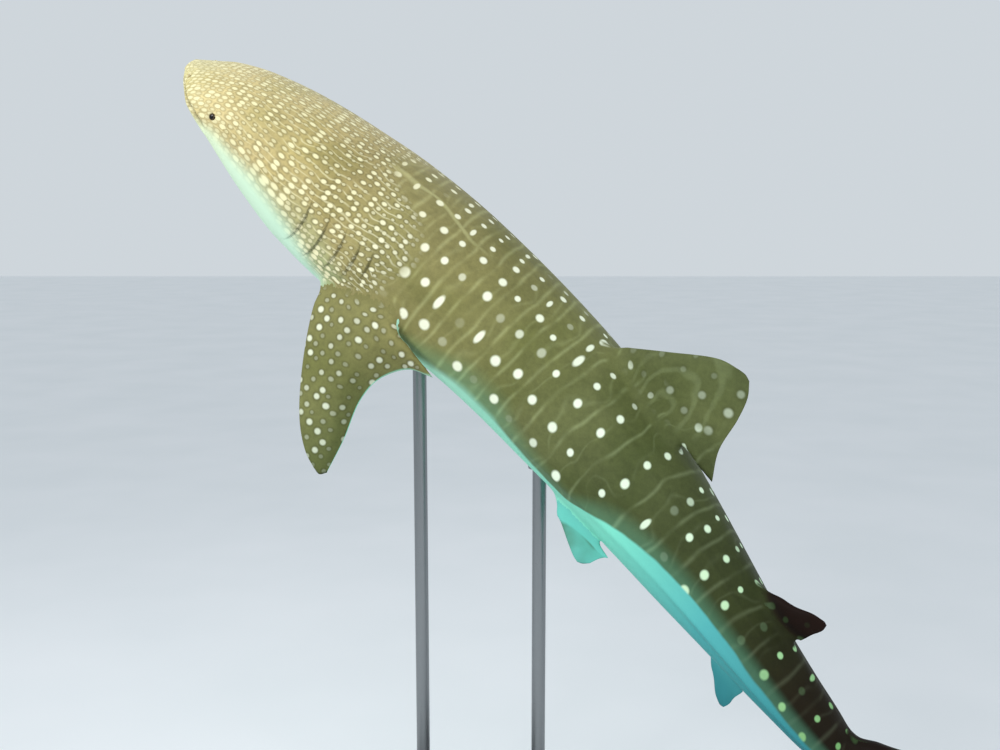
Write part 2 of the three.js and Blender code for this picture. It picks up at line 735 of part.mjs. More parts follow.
const SKIN = '#6b6848';
const HEAD_SKIN = '#8b8058';
const FIN_SKIN = '#5a573c';
const EYE_DARK = '#14120f';
const STAND_GREY = '#3b3d40';

function addNode(parent, name, solid, material) {
  const mesh = solid.getMesh();
  const geometry = new THREE.BufferGeometry();
  geometry.setAttribute('position', new THREE.BufferAttribute(mesh.vertProperties, mesh.numProp));
  geometry.setIndex(new THREE.BufferAttribute(mesh.triVerts, 1));
  geometry.computeVertexNormals();
  const node = new THREE.Mesh(geometry, material);
  node.name = name;
  parent.add(node);
  return node;
}

const clearance = swollenBody();
const clearOfBody = (solid) => largestPiece(solid.subtract(clearance));

addNode(shark, 'head', headSolid(), finish(HEAD_SKIN, 0.6));
addNode(shark, 'trunk_front', bodyLength(HEAD_END, FRONT_END), finish(SKIN, 0.6));
addNode(shark, 'trunk_mid', bodyLength(FRONT_END, MIDDLE_END), finish(SKIN, 0.6));
addNode(shark, 'trunk_rear', bodyLength(MIDDLE_END, REAR_END), finish(SKIN, 0.6));
addNode(shark, 'tail', bodyLength(REAR_END, TAIL_END), finish(SKIN, 0.6));
addNode(shark, 'caudal_fin', caudalSolid(), finish(FIN_SKIN, 0.6));
addNode(shark, 'dorsal_fin_first', clearOfBody(middleFin(FIRST_DORSAL, backAt, 1)), finish(FIN_SKIN, 0.6));
addNode(shark, 'dorsal_fin_second', clearOfBody(middleFin(SECOND_DORSAL, backAt, 1)), finish(FIN_SKIN, 0.6));
addNode(shark, 'anal_fin', clearOfBody(middleFin(ANAL_FIN, bellyAt, -1)), finish(FIN_SKIN, 0.6));

const SIDES = { left: -1, right: 1 };
Object.entries(SIDES).forEach(([side, hand]) => {
  const { centre } = eyePlace(hand);
  addNode(shark, `eye_${side}`, ball(EYE_RADIUS, centre), finish(EYE_DARK, 0.1));
  addNode(shark, `pectoral_fin_${side}`, clearOfBody(pairedFin(PECTORAL, hand)), finish(FIN_SKIN, 0.6));
  addNode(shark, `pelvic_fin_${side}`, clearOfBody(pairedFin(PELVIC, hand)), finish(FIN_SKIN, 0.6));
});

// Stand: a flat plate and two rods whose cups fit the belly
const stand = new THREE.Group();
stand.name = 'stand';

function baseGeometry() {
  const x = BASE_LENGTH / 2;
  const y = BASE_WIDTH / 2;
  const r = BASE_CORNER;
  const outline = new THREE.Shape();
  outline.moveTo(-x + r, -y);
  outline.lineTo(x - r, -y);
  outline.absarc(x - r, -y + r, r, -Math.PI / 2, 0);
  outline.lineTo(x, y - r);
  outline.absarc(x - r, y - r, r, 0, Math.PI / 2);
  outline.lineTo(-x + r, y);
  outline.absarc(-x + r, y - r, r, Math.PI / 2, Math.PI);
  outline.lineTo(-x, -y + r);
  outline.absarc(-x + r, -y + r, r, Math.PI, Math.PI * 1.5);
  return new THREE.ExtrudeGeometry(outline, {
    depth: BASE_THICK - 2 * BASE_BEVEL,
    curveSegments: 6,
    bevelEnabled: true,
    bevelThickness: BASE_BEVEL,
    bevelSize: BASE_BEVEL,
    bevelOffset: -BASE_BEVEL,
    bevelSegments: 1,
  });
}

function upright(radius, bottom, top, place, sides = 24) {
  const geometry = new THREE.CylinderGeometry(radius, radius, top - bottom, sides);
  geometry.rotateX(Math.PI / 2);
  geometry.translate(place.x, place.y, (top + bottom) / 2);
  return solidFromGeometry(geometry);
}

function rodSolid(place, station) {
  const foot = BASE_THICK + JOINT_GAP;
  const touch = skinPoint(station, -80, 1).applyMatrix4(shark.matrixWorld).z;
  const body = clearance.transform(shark.matrixWorld.elements);
  const rod = upright(ROD_RADIUS, foot, touch, place)
    .add(upright(ROD_FOOT_RADIUS, foot, foot + ROD_FOOT_THICK, place, 32))
    .add(upright(ROD_CUP_RADIUS, touch - ROD_CUP_DEPTH, touch + ROD_CUP_DEPTH, place, 32));
  return largestPiece(rod.subtract(body));
}

function baseSolid() {
  const slab = solidFromGeometry(baseGeometry());
  return slab.translate([0, 0, BASE_BEVEL]);
}

addNode(stand, 'stand_base', baseSolid(), finish(STAND_GREY, 0.5, 0.6));
addNode(stand, 'stand_rod_front', rodSolid(ROD_FRONT, ROD_FRONT_STATION), finish(STAND_GREY, 0.4, 0.8));
addNode(stand, 'stand_rod_rear', rodSolid(ROD_REAR, ROD_REAR_STATION), finish(STAND_GREY, 0.4, 0.8));

const group = new THREE.Group();
group.name = 'display_model';
group.add(shark, stand);

export default group;
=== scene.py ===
import logging
import math
from dataclasses import dataclass
from enum import Enum
from typing import Callable

import bpy
import numpy as np
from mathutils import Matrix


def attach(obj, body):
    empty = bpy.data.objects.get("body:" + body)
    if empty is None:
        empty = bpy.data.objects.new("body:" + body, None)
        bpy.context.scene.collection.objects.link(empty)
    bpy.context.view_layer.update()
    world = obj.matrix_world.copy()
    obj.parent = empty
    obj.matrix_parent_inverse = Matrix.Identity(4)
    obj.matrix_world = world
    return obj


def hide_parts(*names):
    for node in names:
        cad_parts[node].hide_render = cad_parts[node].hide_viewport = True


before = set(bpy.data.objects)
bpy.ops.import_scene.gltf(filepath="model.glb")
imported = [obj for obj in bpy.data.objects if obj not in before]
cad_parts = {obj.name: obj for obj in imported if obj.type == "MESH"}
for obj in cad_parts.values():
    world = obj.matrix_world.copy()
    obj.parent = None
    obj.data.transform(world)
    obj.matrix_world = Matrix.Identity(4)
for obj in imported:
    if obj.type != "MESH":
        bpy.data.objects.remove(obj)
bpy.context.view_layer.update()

logging.basicConfig(level=logging.INFO, format="%(message)s")
LOG = logging.getLogger("whale_shark")

Array = np.ndarray
Curve = Callable[[Array], Array]
Stops = tuple[tuple[float, str], ...]

# Lengths are metres; the animal's own sizes are fractions of its total length
TOTAL_LENGTH = 6.0
SECTION_POWER = 2.2
DETAIL = 1.0
HIDE_MAPS = ("Flank", "Spread", "Place", "Tone", "Fleck", "Dress", "Arch")
FLESH_NODES = (
    "head", "trunk_front", "trunk_mid", "trunk_rear", "tail", "caudal_fin", "dorsal_fin_first", "dorsal_fin_second",
    "anal_fin", "pectoral_fin_left", "pectoral_fin_right", "pelvic_fin_left", "pelvic_fin_right",
)


class Hand(Enum):
    """The animal's own sides."""

    LEFT = -1
    RIGHT = 1


def ramp(low: float, high: float, value: Array) -> Array:
    """Rises smoothly from 0 at low to 1 at high."""
    f = np.clip((np.asarray(value, float) - low) / (high - low), 0.0, 1.0)
    return f * f * (3.0 - 2.0 * f)


def bump_at(value: Array, middle: Array, reach: Array) -> Array:
    """A soft hump of height 1 at the middle that dies away past the reach."""
    return np.exp(-(((value - middle) / reach) ** 2))


def smooth_through(places: list[float], values: list[float]) -> Curve:
    """Makes a smooth curve through rows of values that never overshoots between two rows.

    Args:
        places: Where the values stand, rising.
        values: The value at each place.

    Returns:
        A function that reads the curve at an array of places.
    """
    x, y = np.asarray(places, float), np.asarray(values, float)
    slopes = np.diff(y) / np.diff(x)
    product, total = slopes[:-1] * slopes[1:], slopes[:-1] + slopes[1:]
    inner = np.where(product > 0, 2 * product / np.where(total == 0, 1.0, total), 0.0)
    tangents = np.concatenate([slopes[:1], inner, slopes[-1:]])

    def read(place: Array) -> Array:
        """Reads the curve."""
        at = np.clip(place, x[0], x[-1])
        i = np.clip(np.searchsorted(x, at, side="left") - 1, 0, len(x) - 2)
        span, rise = x[i + 1] - x[i], y[i + 1] - y[i]
        f = (at - x[i]) / span
        a, b = tangents[i] * span - rise, rise - tangents[i + 1] * span
        return y[i] + rise * f + f * (1 - f) * (a * (1 - f) + b * f)

    return read


def curve_through(points: Array, places: Array) -> Array:
    """Reads a centripetal curve through points.

    Args:
        points: The points that the curve passes.
        places: Where to read it, from 0 at the first point to 1 at the last.

    Returns:
        One point for each place.
    """
    padded = np.vstack([2 * points[0] - points[1], points, 2 * points[-1] - points[-2]])
    count = len(points)
    t = np.clip(places, 0.0, 1.0) * (count - 1)
    i = np.minimum(t.astype(int), count - 2)
    w = (t - i)[:, None]
    p0, p1, p2, p3 = (padded[i + k] for k in range(4))
    d0, d1, d2 = (np.sqrt(np.linalg.norm(b - a, axis=1))[:, None] for a, b in ((p0, p1), (p1, p2), (p2, p3)))
    t1 = ((p1 - p0) / d0 - (p2 - p0) / (d0 + d1) + (p2 - p1) / d1) * d1
    t2 = ((p2 - p1) / d1 - (p3 - p1) / (d1 + d2) + (p3 - p2) / d2) * d1
    return p1 + t1 * w + (3 * (p2 - p1) - 2 * t1 - t2) * w**2 + (2 * (p1 - p2) + t1 + t2) * w**3


@dataclass
class Spine:
    """The spine of the swimming animal, bent from side to side and set at its place over the base."""

    turn_station: float = 0.35
    turn_place: tuple[float, float, float] = (0.09, 0.0, 3.02)
    nose_up: float = 43.7
    tail_heading: float = -11.7
    back_roll: float = 18.9
    bends: tuple[tuple[float, float, float], ...] = ((0.15, 0.12, -0.5), (0.45, 0.16, -1.69), (0.75, 0.14, 1.73))
    end: float = 1.05
    steps: int = 600

    def __post_init__(self) -> None:
        """Traces the spine once and works out how the animal is turned."""
        step = self.end / self.steps
        middles = (np.arange(self.steps) + 0.5) * step
        turns = sum(turn * bump_at(middles, at, spread) for at, spread, turn in self.bends)
        headings = np.concatenate([[0.0], np.cumsum(turns * step)])
        turn_index = round(self.turn_station / step)
        self.angles = headings - headings[turn_index]
        moves = np.stack([np.cos(self.angles), np.sin(self.angles)], 1)[:-1] * step * TOTAL_LENGTH
        places = np.vstack([[0.0, 0.0], np.cumsum(moves, axis=0)])
        self.places = places - places[turn_index]
        self.stations = np.arange(self.steps + 1) * step
        pitch, heading, roll = (math.radians(a) for a in (self.nose_up, self.tail_heading, self.back_roll))
        along = np.array([math.cos(pitch) * math.cos(heading), math.cos(pitch) * math.sin(heading), -math.sin(pitch)])
        level = np.cross([0.0, 0.0, 1.0], along)
        level /= np.linalg.norm(level)
        right = level * math.cos(roll) + np.cross(along, level) * math.sin(roll)
        self.basis = np.stack([along, right, np.cross(along, right)], 1)

    def directions(self, station: Array) -> tuple[Array, Array]:
        """Gives the directions along the spine and to the animal's right, in its own frame."""
        angle = np.interp(station, self.stations, self.angles)
        flat = np.zeros_like(angle)
        return np.stack([np.cos(angle), np.sin(angle), flat], -1), np.stack([-np.sin(angle), np.cos(angle), flat], -1)

    def place(self, station: Array, right: Array, up: Array) -> Array:
        """Finds places from stations and offsets.

        Args:
            station: How far along the animal, from 0 at the snout to 1 at the tail fin's tip.
            right: Offset to the animal's right, as a fraction of its length.
            up: Offset out of its back, as a fraction of its length.

        Returns:
            The points in the animal's own frame.
        """
        station, right, up = np.broadcast_arrays(*(np.asarray(v, float) for v in (station, right, up)))
        before = np.minimum(station, 0.0)[..., None] * TOTAL_LENGTH
        along, aside = self.directions(station)
        centre = np.stack([np.interp(station, self.stations, self.places[:, k]) for k in range(2)], -1)
        centre = np.concatenate([centre, np.zeros_like(station)[..., None]], -1) + along * before
        lifted = centre + aside * right[..., None] * TOTAL_LENGTH
        lifted[..., 2] += up * TOTAL_LENGTH
        return lifted

    def to_world(self, points: Array) -> Array:
        """Turns points of the animal's own frame into the model's frame."""
        return points @ self.basis.T + np.array(self.turn_place)


@dataclass
class BodyShape:
    """The outer form of the body: its sections, ridges, lips, gill flaps and the dents of the head."""

    spine: Spine
    rows: tuple[tuple[float, float, float, float], ...] = (
        (-0.006, 0.0112, 0.005, 0.0054), (0.0, 0.0206, 0.008, 0.0109), (0.006, 0.0288, 0.0112, 0.0142),
        (0.02, 0.0434, 0.02, 0.0228), (0.05, 0.0527, 0.0345, 0.035), (0.1, 0.0662, 0.0475, 0.053),
        (0.15, 0.076, 0.055, 0.064),
        (0.2, 0.081, 0.061, 0.066), (0.28, 0.078, 0.067, 0.062), (0.36, 0.072, 0.068, 0.058),
        (0.44, 0.066, 0.067, 0.056), (0.52, 0.056, 0.058, 0.05), (0.6, 0.045, 0.0475, 0.04),
        (0.68, 0.0335, 0.036, 0.028), (0.74, 0.0265, 0.0275, 0.021), (0.78, 0.0215, 0.0215, 0.0175),
        (0.835, 0.004, 0.006, 0.006),
    )
    ridge_stations: tuple[float, ...] = (0.05, 0.2, 0.45, 0.7)
    upper_ridge: tuple[float, ...] = (52, 50, 50, 48)
    middle_ridge: tuple[float, ...] = (20, 20, 18, 22)
    lower_ridge: tuple[float, ...] = (-16, -16, -20, 0)
    ridge_reach: float = 5.0
    back_crest: float = 0.0012
    side_crest: float = 0.0014
    keel_crest: float = 0.0075
    mouth_corner: float = 0.042
    mouth_level: float = -0.003
    mouth_sag: float = 0.0075
    lip_crest: float = 0.0012
    lip_offset: float = 9.0
    mouth_depth: float = 0.016
    mouth_width: float = 0.0055
    gill_slits: tuple[tuple[float, float, float], ...] = (
        (0.156, 23, -31), (0.177, 22, -29), (0.196, 21, -24), (0.212, 20, -14), (0.2255, 18, -5),
    )
    flap_length: float = 0.0115
    flap_rise: float = 0.0016
    slit_depth: float = 0.0006
    slit_width: float = 0.0012
    gill_bow: float = 0.007
    gill_top: float = 24.0
    gill_span: float = 56.0
    eye_station: float = 0.045
    eye_elevation: float = 5.0
    eye_radius: float = 0.0195
    eye_sunk: float = 0.011
    socket_depth: float = 0.02
    socket_rim: float = 0.0045
    spiracle_station: float = 0.062
    spiracle_radius: float = 0.013
    spiracle_depth: float = 0.012
    spiracle_rim: float = 0.002
    nostril: tuple[float, float, float] = (0.004, 0.0232, 0.004)
    nostril_radius: float = 0.014
    nostril_depth: float = 0.016
    nostril_rim: float = 0.0015

    def __post_init__(self) -> None:
        """Draws the smooth curves through the rows of sizes."""
        at = [row[0] for row in self.rows]
        self.side, self.back, self.belly = (smooth_through(at, [row[k] for row in self.rows]) for k in (1, 2, 3))
        ridges = (self.upper_ridge, self.middle_ridge, self.lower_ridge)
        self.upper, self.middle, self.lower = (smooth_through(self.ridge_stations, list(r)) for r in ridges)

    def mouth_height(self, station: Array) -> Array:
        """Height of the mouth's line over the body's axis."""
        return self.mouth_level - self.mouth_sag * (np.maximum(station, 0.0) / self.mouth_corner) ** 2

    def relief(self, station: Array, elevation: Array) -> Array:
        """Height of the ridges, lips and keel over the plain section."""
        on_back = ramp(0.15, 0.22, station) * (1 - ramp(0.72, 0.78, station))
        on_side = ramp(0.14, 0.24, station) * (1 - ramp(0.66, 0.76, station))
        keel = ramp(0.6, 0.72, station) * (1 - ramp(0.79, 0.84, station))
        lips = 1 - ramp(self.mouth_corner, 0.056, station)
        lower = self.side_crest * ramp(0.2, 0.3, station) * (1 - ramp(0.79, 0.84, station))
        lower = lower + (self.keel_crest - self.side_crest) * keel
        height = self.mouth_height(np.minimum(station, self.mouth_corner)) / self.belly(station)
        line = -np.degrees(np.arcsin(np.minimum(-height, 1.0) ** (SECTION_POWER / 2)))
        reach = self.ridge_reach
        return (
            bump_at(elevation, 90.0, 2 * reach) * self.back_crest * on_back
            + bump_at(elevation, self.upper(station), reach) * self.side_crest * on_side
            + bump_at(elevation, self.middle(station), reach) * self.side_crest * on_side
            + bump_at(elevation, self.lower(station), reach * (1 + keel)) * lower
            + bump_at(elevation, line + self.lip_offset, self.lip_offset) * self.lip_crest * lips
            + bump_at(elevation, line - self.lip_offset, self.lip_offset) * self.lip_crest * lips
        )

    def slit_painted_shade(self, station: Array, elevation: Array) -> Array:
        """How much painted shade darkens the gill slits, from 0 to 1: strongest over their middle and fading to both
        ends.
        """
        shade = np.zeros(np.broadcast(station, elevation).shape)
        for at, top, foot in self.gill_slits:
            f = np.clip((top - elevation) / (top - foot), 0.0, 1.0)
            shade = np.maximum(shade, bump_at(station, at + 0.0008, 0.0014) * np.sin(np.pi * f) ** 2)
        return shade

    def gills(self, station: Array, elevation: Array) -> tuple[Array, Array]:
        """Gives how far the gills' lines bow back and how far the flaps stand over the skin."""
        f = (self.gill_top - elevation) / self.gill_span
        zone = ramp(0.14, 0.152, station) * (1 - ramp(0.23, 0.245, station))
        bow = np.where((f > 0) & (f < 1), self.gill_bow * np.sin(np.pi * np.clip(f, 0, 1)), 0.0) * zone
        rise = np.zeros(np.broadcast(station, elevation).shape)
        for at, top, foot in self.gill_slits:
            f = np.clip((top - elevation) / (top - foot), 0.0, 1.0)
            back = station - at
            flap = self.flap_rise * np.clip(1 + back / self.flap_length, 0, 1) ** 1.5
            slit = -self.slit_depth * np.clip(1 - np.abs(back / self.slit_width - 1), 0, 1)
            rise = rise + np.where(back <= 0, flap, slit) * np.sin(np.pi * f)
        return bow, rise

    def skin(self, station: Array, elevation: Array, hand: Array) -> Array:
        """Finds points on the skin.

        Args:
            station: How far along the animal.
            elevation: Degrees round the section, from -90 at the belly to 90 at the back.
            hand: -1 on the left side and 1 on the right.

        Returns:
            The points in the animal's own frame.
        """
        angle = np.radians(elevation)
        across = np.abs(np.cos(angle)) ** (2 / SECTION_POWER)
        upward = np.sign(angle) * np.abs(np.sin(angle)) ** (2 / SECTION_POWER)
        bow, rise = self.gills(station, elevation)
        raised = self.relief(station, elevation) + rise
        half = self.side(station) + raised
        tall = np.where(angle > 0, self.back(station), self.belly(station)) + raised
        return self.spine.place(station + bow, hand * half * across, tall * upward)

    def normal(self, station: float, elevation: float, hand: int) -> Array:
        """The outward direction of the skin at one place."""
        ahead = self.skin(np.array([station + 0.002, station - 0.002]), np.array([elevation] * 2), hand)
        round_it = self.skin(np.array([station] * 2), np.array([elevation + 1, elevation - 1]), hand)
        out = -hand * np.cross(ahead[0] - ahead[1], round_it[0] - round_it[1])
        return out / np.linalg.norm(out)


def as_mesh_grid(name: str, places: Array, layers: dict[str, Array]) -> bpy.types.Object:
    """Shapes a grid primitive into a closed piece.

    Args:
        name: The piece's name.
        places: Rows and columns of points in the model's frame; the first and last columns meet.
        layers: Two numbers for each point, kept as a UV map of that name.

    Returns:
        The closed, outward facing piece, still selected.
    """
    rows, columns = places.shape[:2]
    bpy.ops.object.select_all(action="DESELECT")
    bpy.ops.mesh.primitive_grid_add(x_subdivisions=columns - 1, y_subdivisions=rows - 1, size=2.0)
    piece = bpy.context.object
    piece.name = piece.data.name = name
    mesh = piece.data
    flat = np.empty(len(mesh.vertices) * 3, np.float32)
    mesh.vertices.foreach_get("co", flat)
    flat = flat.reshape(-1, 3)
    column = np.rint((flat[:, 0] + 1) / 2 * (columns - 1)).astype(int)
    row = np.rint((flat[:, 1] + 1) / 2 * (rows - 1)).astype(int)
    mesh.vertices.foreach_set("co", places[row, column].astype(np.float32).ravel())
    corners = np.empty(len(mesh.loops), np.int32)
    mesh.loops.foreach_get("vertex_index", corners)
    while mesh.uv_layers:
        mesh.uv_layers.remove(mesh.uv_layers[0])
    for layer_name, values in layers.items():
        layer = mesh.uv_layers.new(name=layer_name, do_init=False)
        layer.uv.foreach_set("vector", values[row, column][corners].astype(np.float32).ravel())
    bpy.ops.object.mode_set(mode="EDIT")
    bpy.ops.mesh.select_all(action="SELECT")
    bpy.ops.mesh.remove_doubles(threshold=2e-5)
    bpy.ops.mesh.normals_make_consistent(inside=False)
    bpy.ops.object.mode_set(mode="OBJECT")
    bpy.ops.object.shade_smooth()
    return piece


def as_placed(piece: bpy.types.Object) -> bpy.types.Object:
    """Moves a piece's place, turn and scale into its mesh."""
    bpy.ops.object.select_all(action="DESELECT")
    piece.select_set(True)
    bpy.context.view_layer.objects.active = piece
    bpy.ops.object.transform_apply(location=True, rotation=True, scale=True)
    return piece


def linear(hex_colour: str) -> tuple[float, float, float, float]:
    """Turns an sRGB hex colour into a linear one."""
    parts = [int(hex_colour[i:i + 2], 16) / 255 for i in (1, 3, 5)]
    return (*(p / 12.92 if p <= 0.04045 else ((p + 0.055) / 1.055) ** 2.4 for p in parts), 1.0)


def add(tree: bpy.types.NodeTree, kind: str, settings: dict, links: dict, out: int | str = 0) -> bpy.types.NodeSocket:
    """Adds one node.

    Args:
        tree: The node tree.
        kind: The node's type.
        settings: Its properties by name.
        links: Its inputs by name or number, each a value or another node's output.
        out: The output that is wanted.

    Returns:
        That output.
    """
    node = tree.nodes.new(kind)
    for name, value in settings.items():
        setattr(node, name, value)
    for socket, value in links.items():
        if isinstance(value, bpy.types.NodeSocket):
            tree.links.new(value, node.inputs[socket])
        else:
            node.inputs[socket].default_value = value
    return node.outputs[out]


def set_stops(output: bpy.types.NodeSocket, stops: Stops) -> bpy.types.NodeSocket:
    """Writes the colours of a colour ramp.

    Args:
        output: The ramp's colour output.
        stops: A position and an sRGB hex colour for each stop.

    Returns:
        The same output.
    """
    elements = output.node.color_ramp.elements
    while len(elements) < len(stops):
        elements.new(0.5)
    for element, (position, colour) in zip(elements, stops):
        element.position = position
        element.color = linear(colour)
    return output


@dataclass
class Graph:
    """A material's node tree, with short names for the nodes that the finishes use most."""

    tree: bpy.types.NodeTree

    def node(self, kind: str, settings: dict, links: dict, out: int | str = 0) -> bpy.types.NodeSocket:
        """Adds any node."""
        return add(self.tree, kind, settings, links, out)

    def math(self, operation: str, *values: object) -> bpy.types.NodeSocket:
        """One sum of up to three numbers."""
        return self.node("ShaderNodeMath", {"operation": operation}, dict(enumerate(values)))

    def vector(self, operation: str, *values: object) -> bpy.types.NodeSocket:
        """One sum of up to three vectors."""
        out = "Value" if operation == "LENGTH" else 0
        return self.node("ShaderNodeVectorMath", {"operation": operation}, dict(enumerate(values)), out)

    def scaled(self, colour: object, factor: object) -> bpy.types.NodeSocket:
        """A colour made lighter or darker."""
        return self.node("ShaderNodeVectorMath", {"operation": "SCALE"}, {0: colour, "Scale": factor})

    def spread(self, value: object, low: object, high: object, start: object = 0.0, end: object = 1.0,
               smooth: bool = False) -> bpy.types.NodeSocket:
        """Maps the range from low to high onto the one from start to end, and holds it beyond both."""
        kind = "SMOOTHSTEP" if smooth else "LINEAR"
        numbers = dict(enumerate((value, low, high, start, end)))
        return self.node("ShaderNodeMapRange", {"interpolation_type": kind}, numbers)

    def blend(self, factor: object, under: object, over: object, kind: str = "MIX") -> bpy.types.NodeSocket:
        """Lays one colour over another."""
        settings = {"data_type": "RGBA", "blend_type": kind}
        return self.node("ShaderNodeMix", settings, {0: factor, 6: under, 7: over}, 2)

    def ramp(self, factor: object, stops: Stops) -> bpy.types.NodeSocket:
        """Reads a row of colours."""
        return set_stops(self.node("ShaderNodeValToRGB", {}, {0: factor}), stops)

    def noise(self, place: object, scale: float, detail: float = 2.0, roughness: float = 0.5,
              flat: bool = False) -> bpy.types.NodeSocket:
        """Cloudy noise with the given number of patches to the metre."""
        links = {"Vector": place, "Scale": scale, "Detail": detail, "Roughness": roughness}
        return self.node("ShaderNodeTexNoise", {"noise_dimensions": "2D" if flat else "3D"}, links)

    def bump(self, height: object, strength: float, distance: float, **links: object) -> bpy.types.NodeSocket:
        """Turns a height into a surface direction."""
        links = {"Strength": strength, "Distance": distance, "Height": height, **links}
        return self.node("ShaderNodeBump", {}, links)

    def part(self, vector: object, index: int) -> bpy.types.NodeSocket:
        """One number of a vector."""
        return self.node("ShaderNodeSeparateXYZ", {}, {0: vector}, index)

    def uv(self, name: str) -> bpy.types.NodeSocket:
        """Reads a UV map."""
        return self.node("ShaderNodeUVMap", {"uv_map": name}, {})

    def here(self) -> bpy.types.NodeSocket:
        """The place in metres in the model's frame."""
        return self.node("ShaderNodeTexCoord", {}, {}, "Object")

    def from_middle(self, value: object) -> bpy.types.NodeSocket:
        """How far a count is from the middle of its cell, from 0 to a half."""
        return self.math("ABSOLUTE", self.math("SUBTRACT", self.math("FRACT", value), 0.5))


def new_material(name: str) -> tuple[bpy.types.Material, Graph, dict[str, bpy.types.NodeSocket]]:
    """Makes a material with an empty surface.

    Args:
        name: Its name.

    Returns:
        The material, its node graph and its surface shader's inputs.
    """
    material = bpy.data.materials.new(name)
    material.use_nodes = True
    return material, Graph(material.node_tree), material.node_tree.nodes["Principled BSDF"].inputs


@dataclass(frozen=True)
class SharkHide:
    """Whale shark hide: tough grey-brown skin set with tiny tooth-like scales, so matt with a faint sheen.

    The head is golden and crowded with pale flecks, the flanks carry columns of round spots between thin pale
    bars, and the belly is plain and pale below a sharp edge. Colours darken from the head to the tail, partly as
    the hide's own tone and partly as painted shade where the light falls off along the animal; the belly's aqua
    tint is painted light from the water.
    """

    # Hide colour by station, snout to tail: its darkening towards the tail is partly the hide's own tone and partly
    # painted shade, the light falling off along the animal
    back: Stops = (
        (0.0, "#d6cc9a"), (0.03, "#cbbb86"), (0.07, "#bdac7b"), (0.12, "#b0a06c"), (0.17, "#a29362"),
        (0.22, "#908858"), (0.3, "#837e4e"), (0.38, "#747546"), (0.45, "#666b41"), (0.52, "#545c36"),
        (0.6, "#3e4626"), (0.66, "#31381b"), (0.74, "#20190a"), (0.82, "#150b04"), (1.0, "#1e0c05"),
    )
    # Spot colour by station: the darker spots towards the tail are partly painted shade
    spots: Stops = (
        (0.0, "#e9e0b0"), (0.1, "#ebe3b2"), (0.2, "#eee8bc"), (0.28, "#f3f3d6"), (0.48, "#eefae0"), (0.6, "#dcf5d2"),
        (0.7, "#a4d69a"), (0.8, "#70a662"),
    )
    # Belly colour by station: the aqua tint is painted light from the water on a white belly, and the darkening
    # towards the tail is painted shade
    belly: Stops = (
        (0.03, "#e6f0c6"), (0.08, "#d6efd0"), (0.2, "#c8eed4"), (0.4, "#9ee6c8"), (0.55, "#82e2c8"),
        (0.66, "#55b0b0"), (0.76, "#388a90"), (0.84, "#2b5f68"),
    )
    # Lower flank's tint by station: its darkening towards the tail is partly painted shade
    lower_flank: Stops = (
        (0.1, "#c6dcae"), (0.2, "#b4d2a0"), (0.3, "#7cab80"), (0.4, "#6aa583"), (0.8, "#5c9a7a"),
    )
    olive: str = "#76854f"
    bar_veil: str = "#b9c9a4"
    arch_step: float = 0.085

    def __call__(self) -> bpy.types.Material:
        """Builds the material from the piece's own maps.

        Returns:
            The hide, drawn from the maps Flank (column and row of the spots), Spread (their spacing in metres),
            Place (station and girth in metres), Tone (depth under the belly's edge, and where the flank's marks
            stop), Fleck (cells of the flecks), Dress (how strong and how large the flecks are) and Arch (radius
            and strength of the dorsal fin's arched lines; below 0, how much painted shade darkens the mouth's line
            and the gill slits).
        """
        material, graph, surface = new_material("whale_shark_hide")
        maps = {name: graph.uv(name) for name in HIDE_MAPS}
        numbers = {name: graph.part(socket, 0).node.outputs for name, socket in maps.items()}
        first, second = ({name: outputs[k] for name, outputs in numbers.items()} for k in (0, 1))
        here, station, under = graph.here(), first["Place"], first["Tone"]

        # Base colour along the animal, which darkens towards the tail partly as painted shade, in olive and brown
        # patches about 400 mm across, clouded at 300 and 40 mm
        drift = graph.spread(graph.noise(here, 2.4), 0.42, 0.66, 0.0, 0.3, smooth=True)
        base = graph.blend(drift, graph.ramp(station, self.back), linear(self.olive), "OVERLAY")
        patches, mottle = graph.noise(here, 3.2, 3.0), graph.noise(here, 28.0, 5.0, 0.75)
        shade = graph.math("MULTIPLY_ADD", mottle, 0.78, graph.math("MULTIPLY_ADD", patches, 0.5, 0.36))
        base = graph.scaled(base, shade)

        # Green tint towards the lower flank, paler over the gills and darker towards the tail, partly as painted
        # shade
        low = graph.spread(under, -1.6, -0.1, 0.0, 0.38, smooth=True)
        low = graph.math("MULTIPLY", low, graph.spread(station, 0.12, 0.2))
        base = graph.blend(low, base, graph.ramp(station, self.lower_flank))

        # Darker rings round the flecks; bars and arches that only lighten the hide
        on_flank = graph.math("SUBTRACT", 1.0, second["Tone"])
        fleck, ring = self.flecks(graph, maps, second)
        base = graph.blend(first["Dress"], base, graph.scaled(base, ring))
        bars = graph.math("MULTIPLY", self.cross_bars(graph, maps, first, second), on_flank)
        line = graph.math("MAXIMUM", bars, self.arches(graph, first, second, patches))
        base = graph.scaled(base, graph.math("MULTIPLY_ADD", line, 1.5, 1.0))
        base = graph.blend(graph.math("MULTIPLY", line, 0.45), base, linear(self.bar_veil))

        # Pale spots, flecks and the head's lines in one colour, which darkens towards the tail partly as painted
        # shade
        marks = graph.math("MULTIPLY", self.flank_spots(graph, maps, second), on_flank)
        for mark in (fleck, self.head_lines(graph, maps, station)):
            marks = graph.math("MAXIMUM", marks, graph.math("MULTIPLY", mark, first["Dress"]))
        skin = graph.blend(marks, base, graph.ramp(station, self.spots))

        # Pale belly below its edge, which wanders by a centimetre or two and is soft on the cheek; its aqua tint is
        # painted light from the water, and its darkening towards the tail is painted shade
        edge = graph.math("MULTIPLY_ADD", patches, 0.5, under)
        pale = graph.spread(edge, 0.12, graph.spread(station, 0.2, 0.5, 1.9, 0.34), smooth=True)
        skin = graph.blend(pale, skin, graph.ramp(station, self.belly))
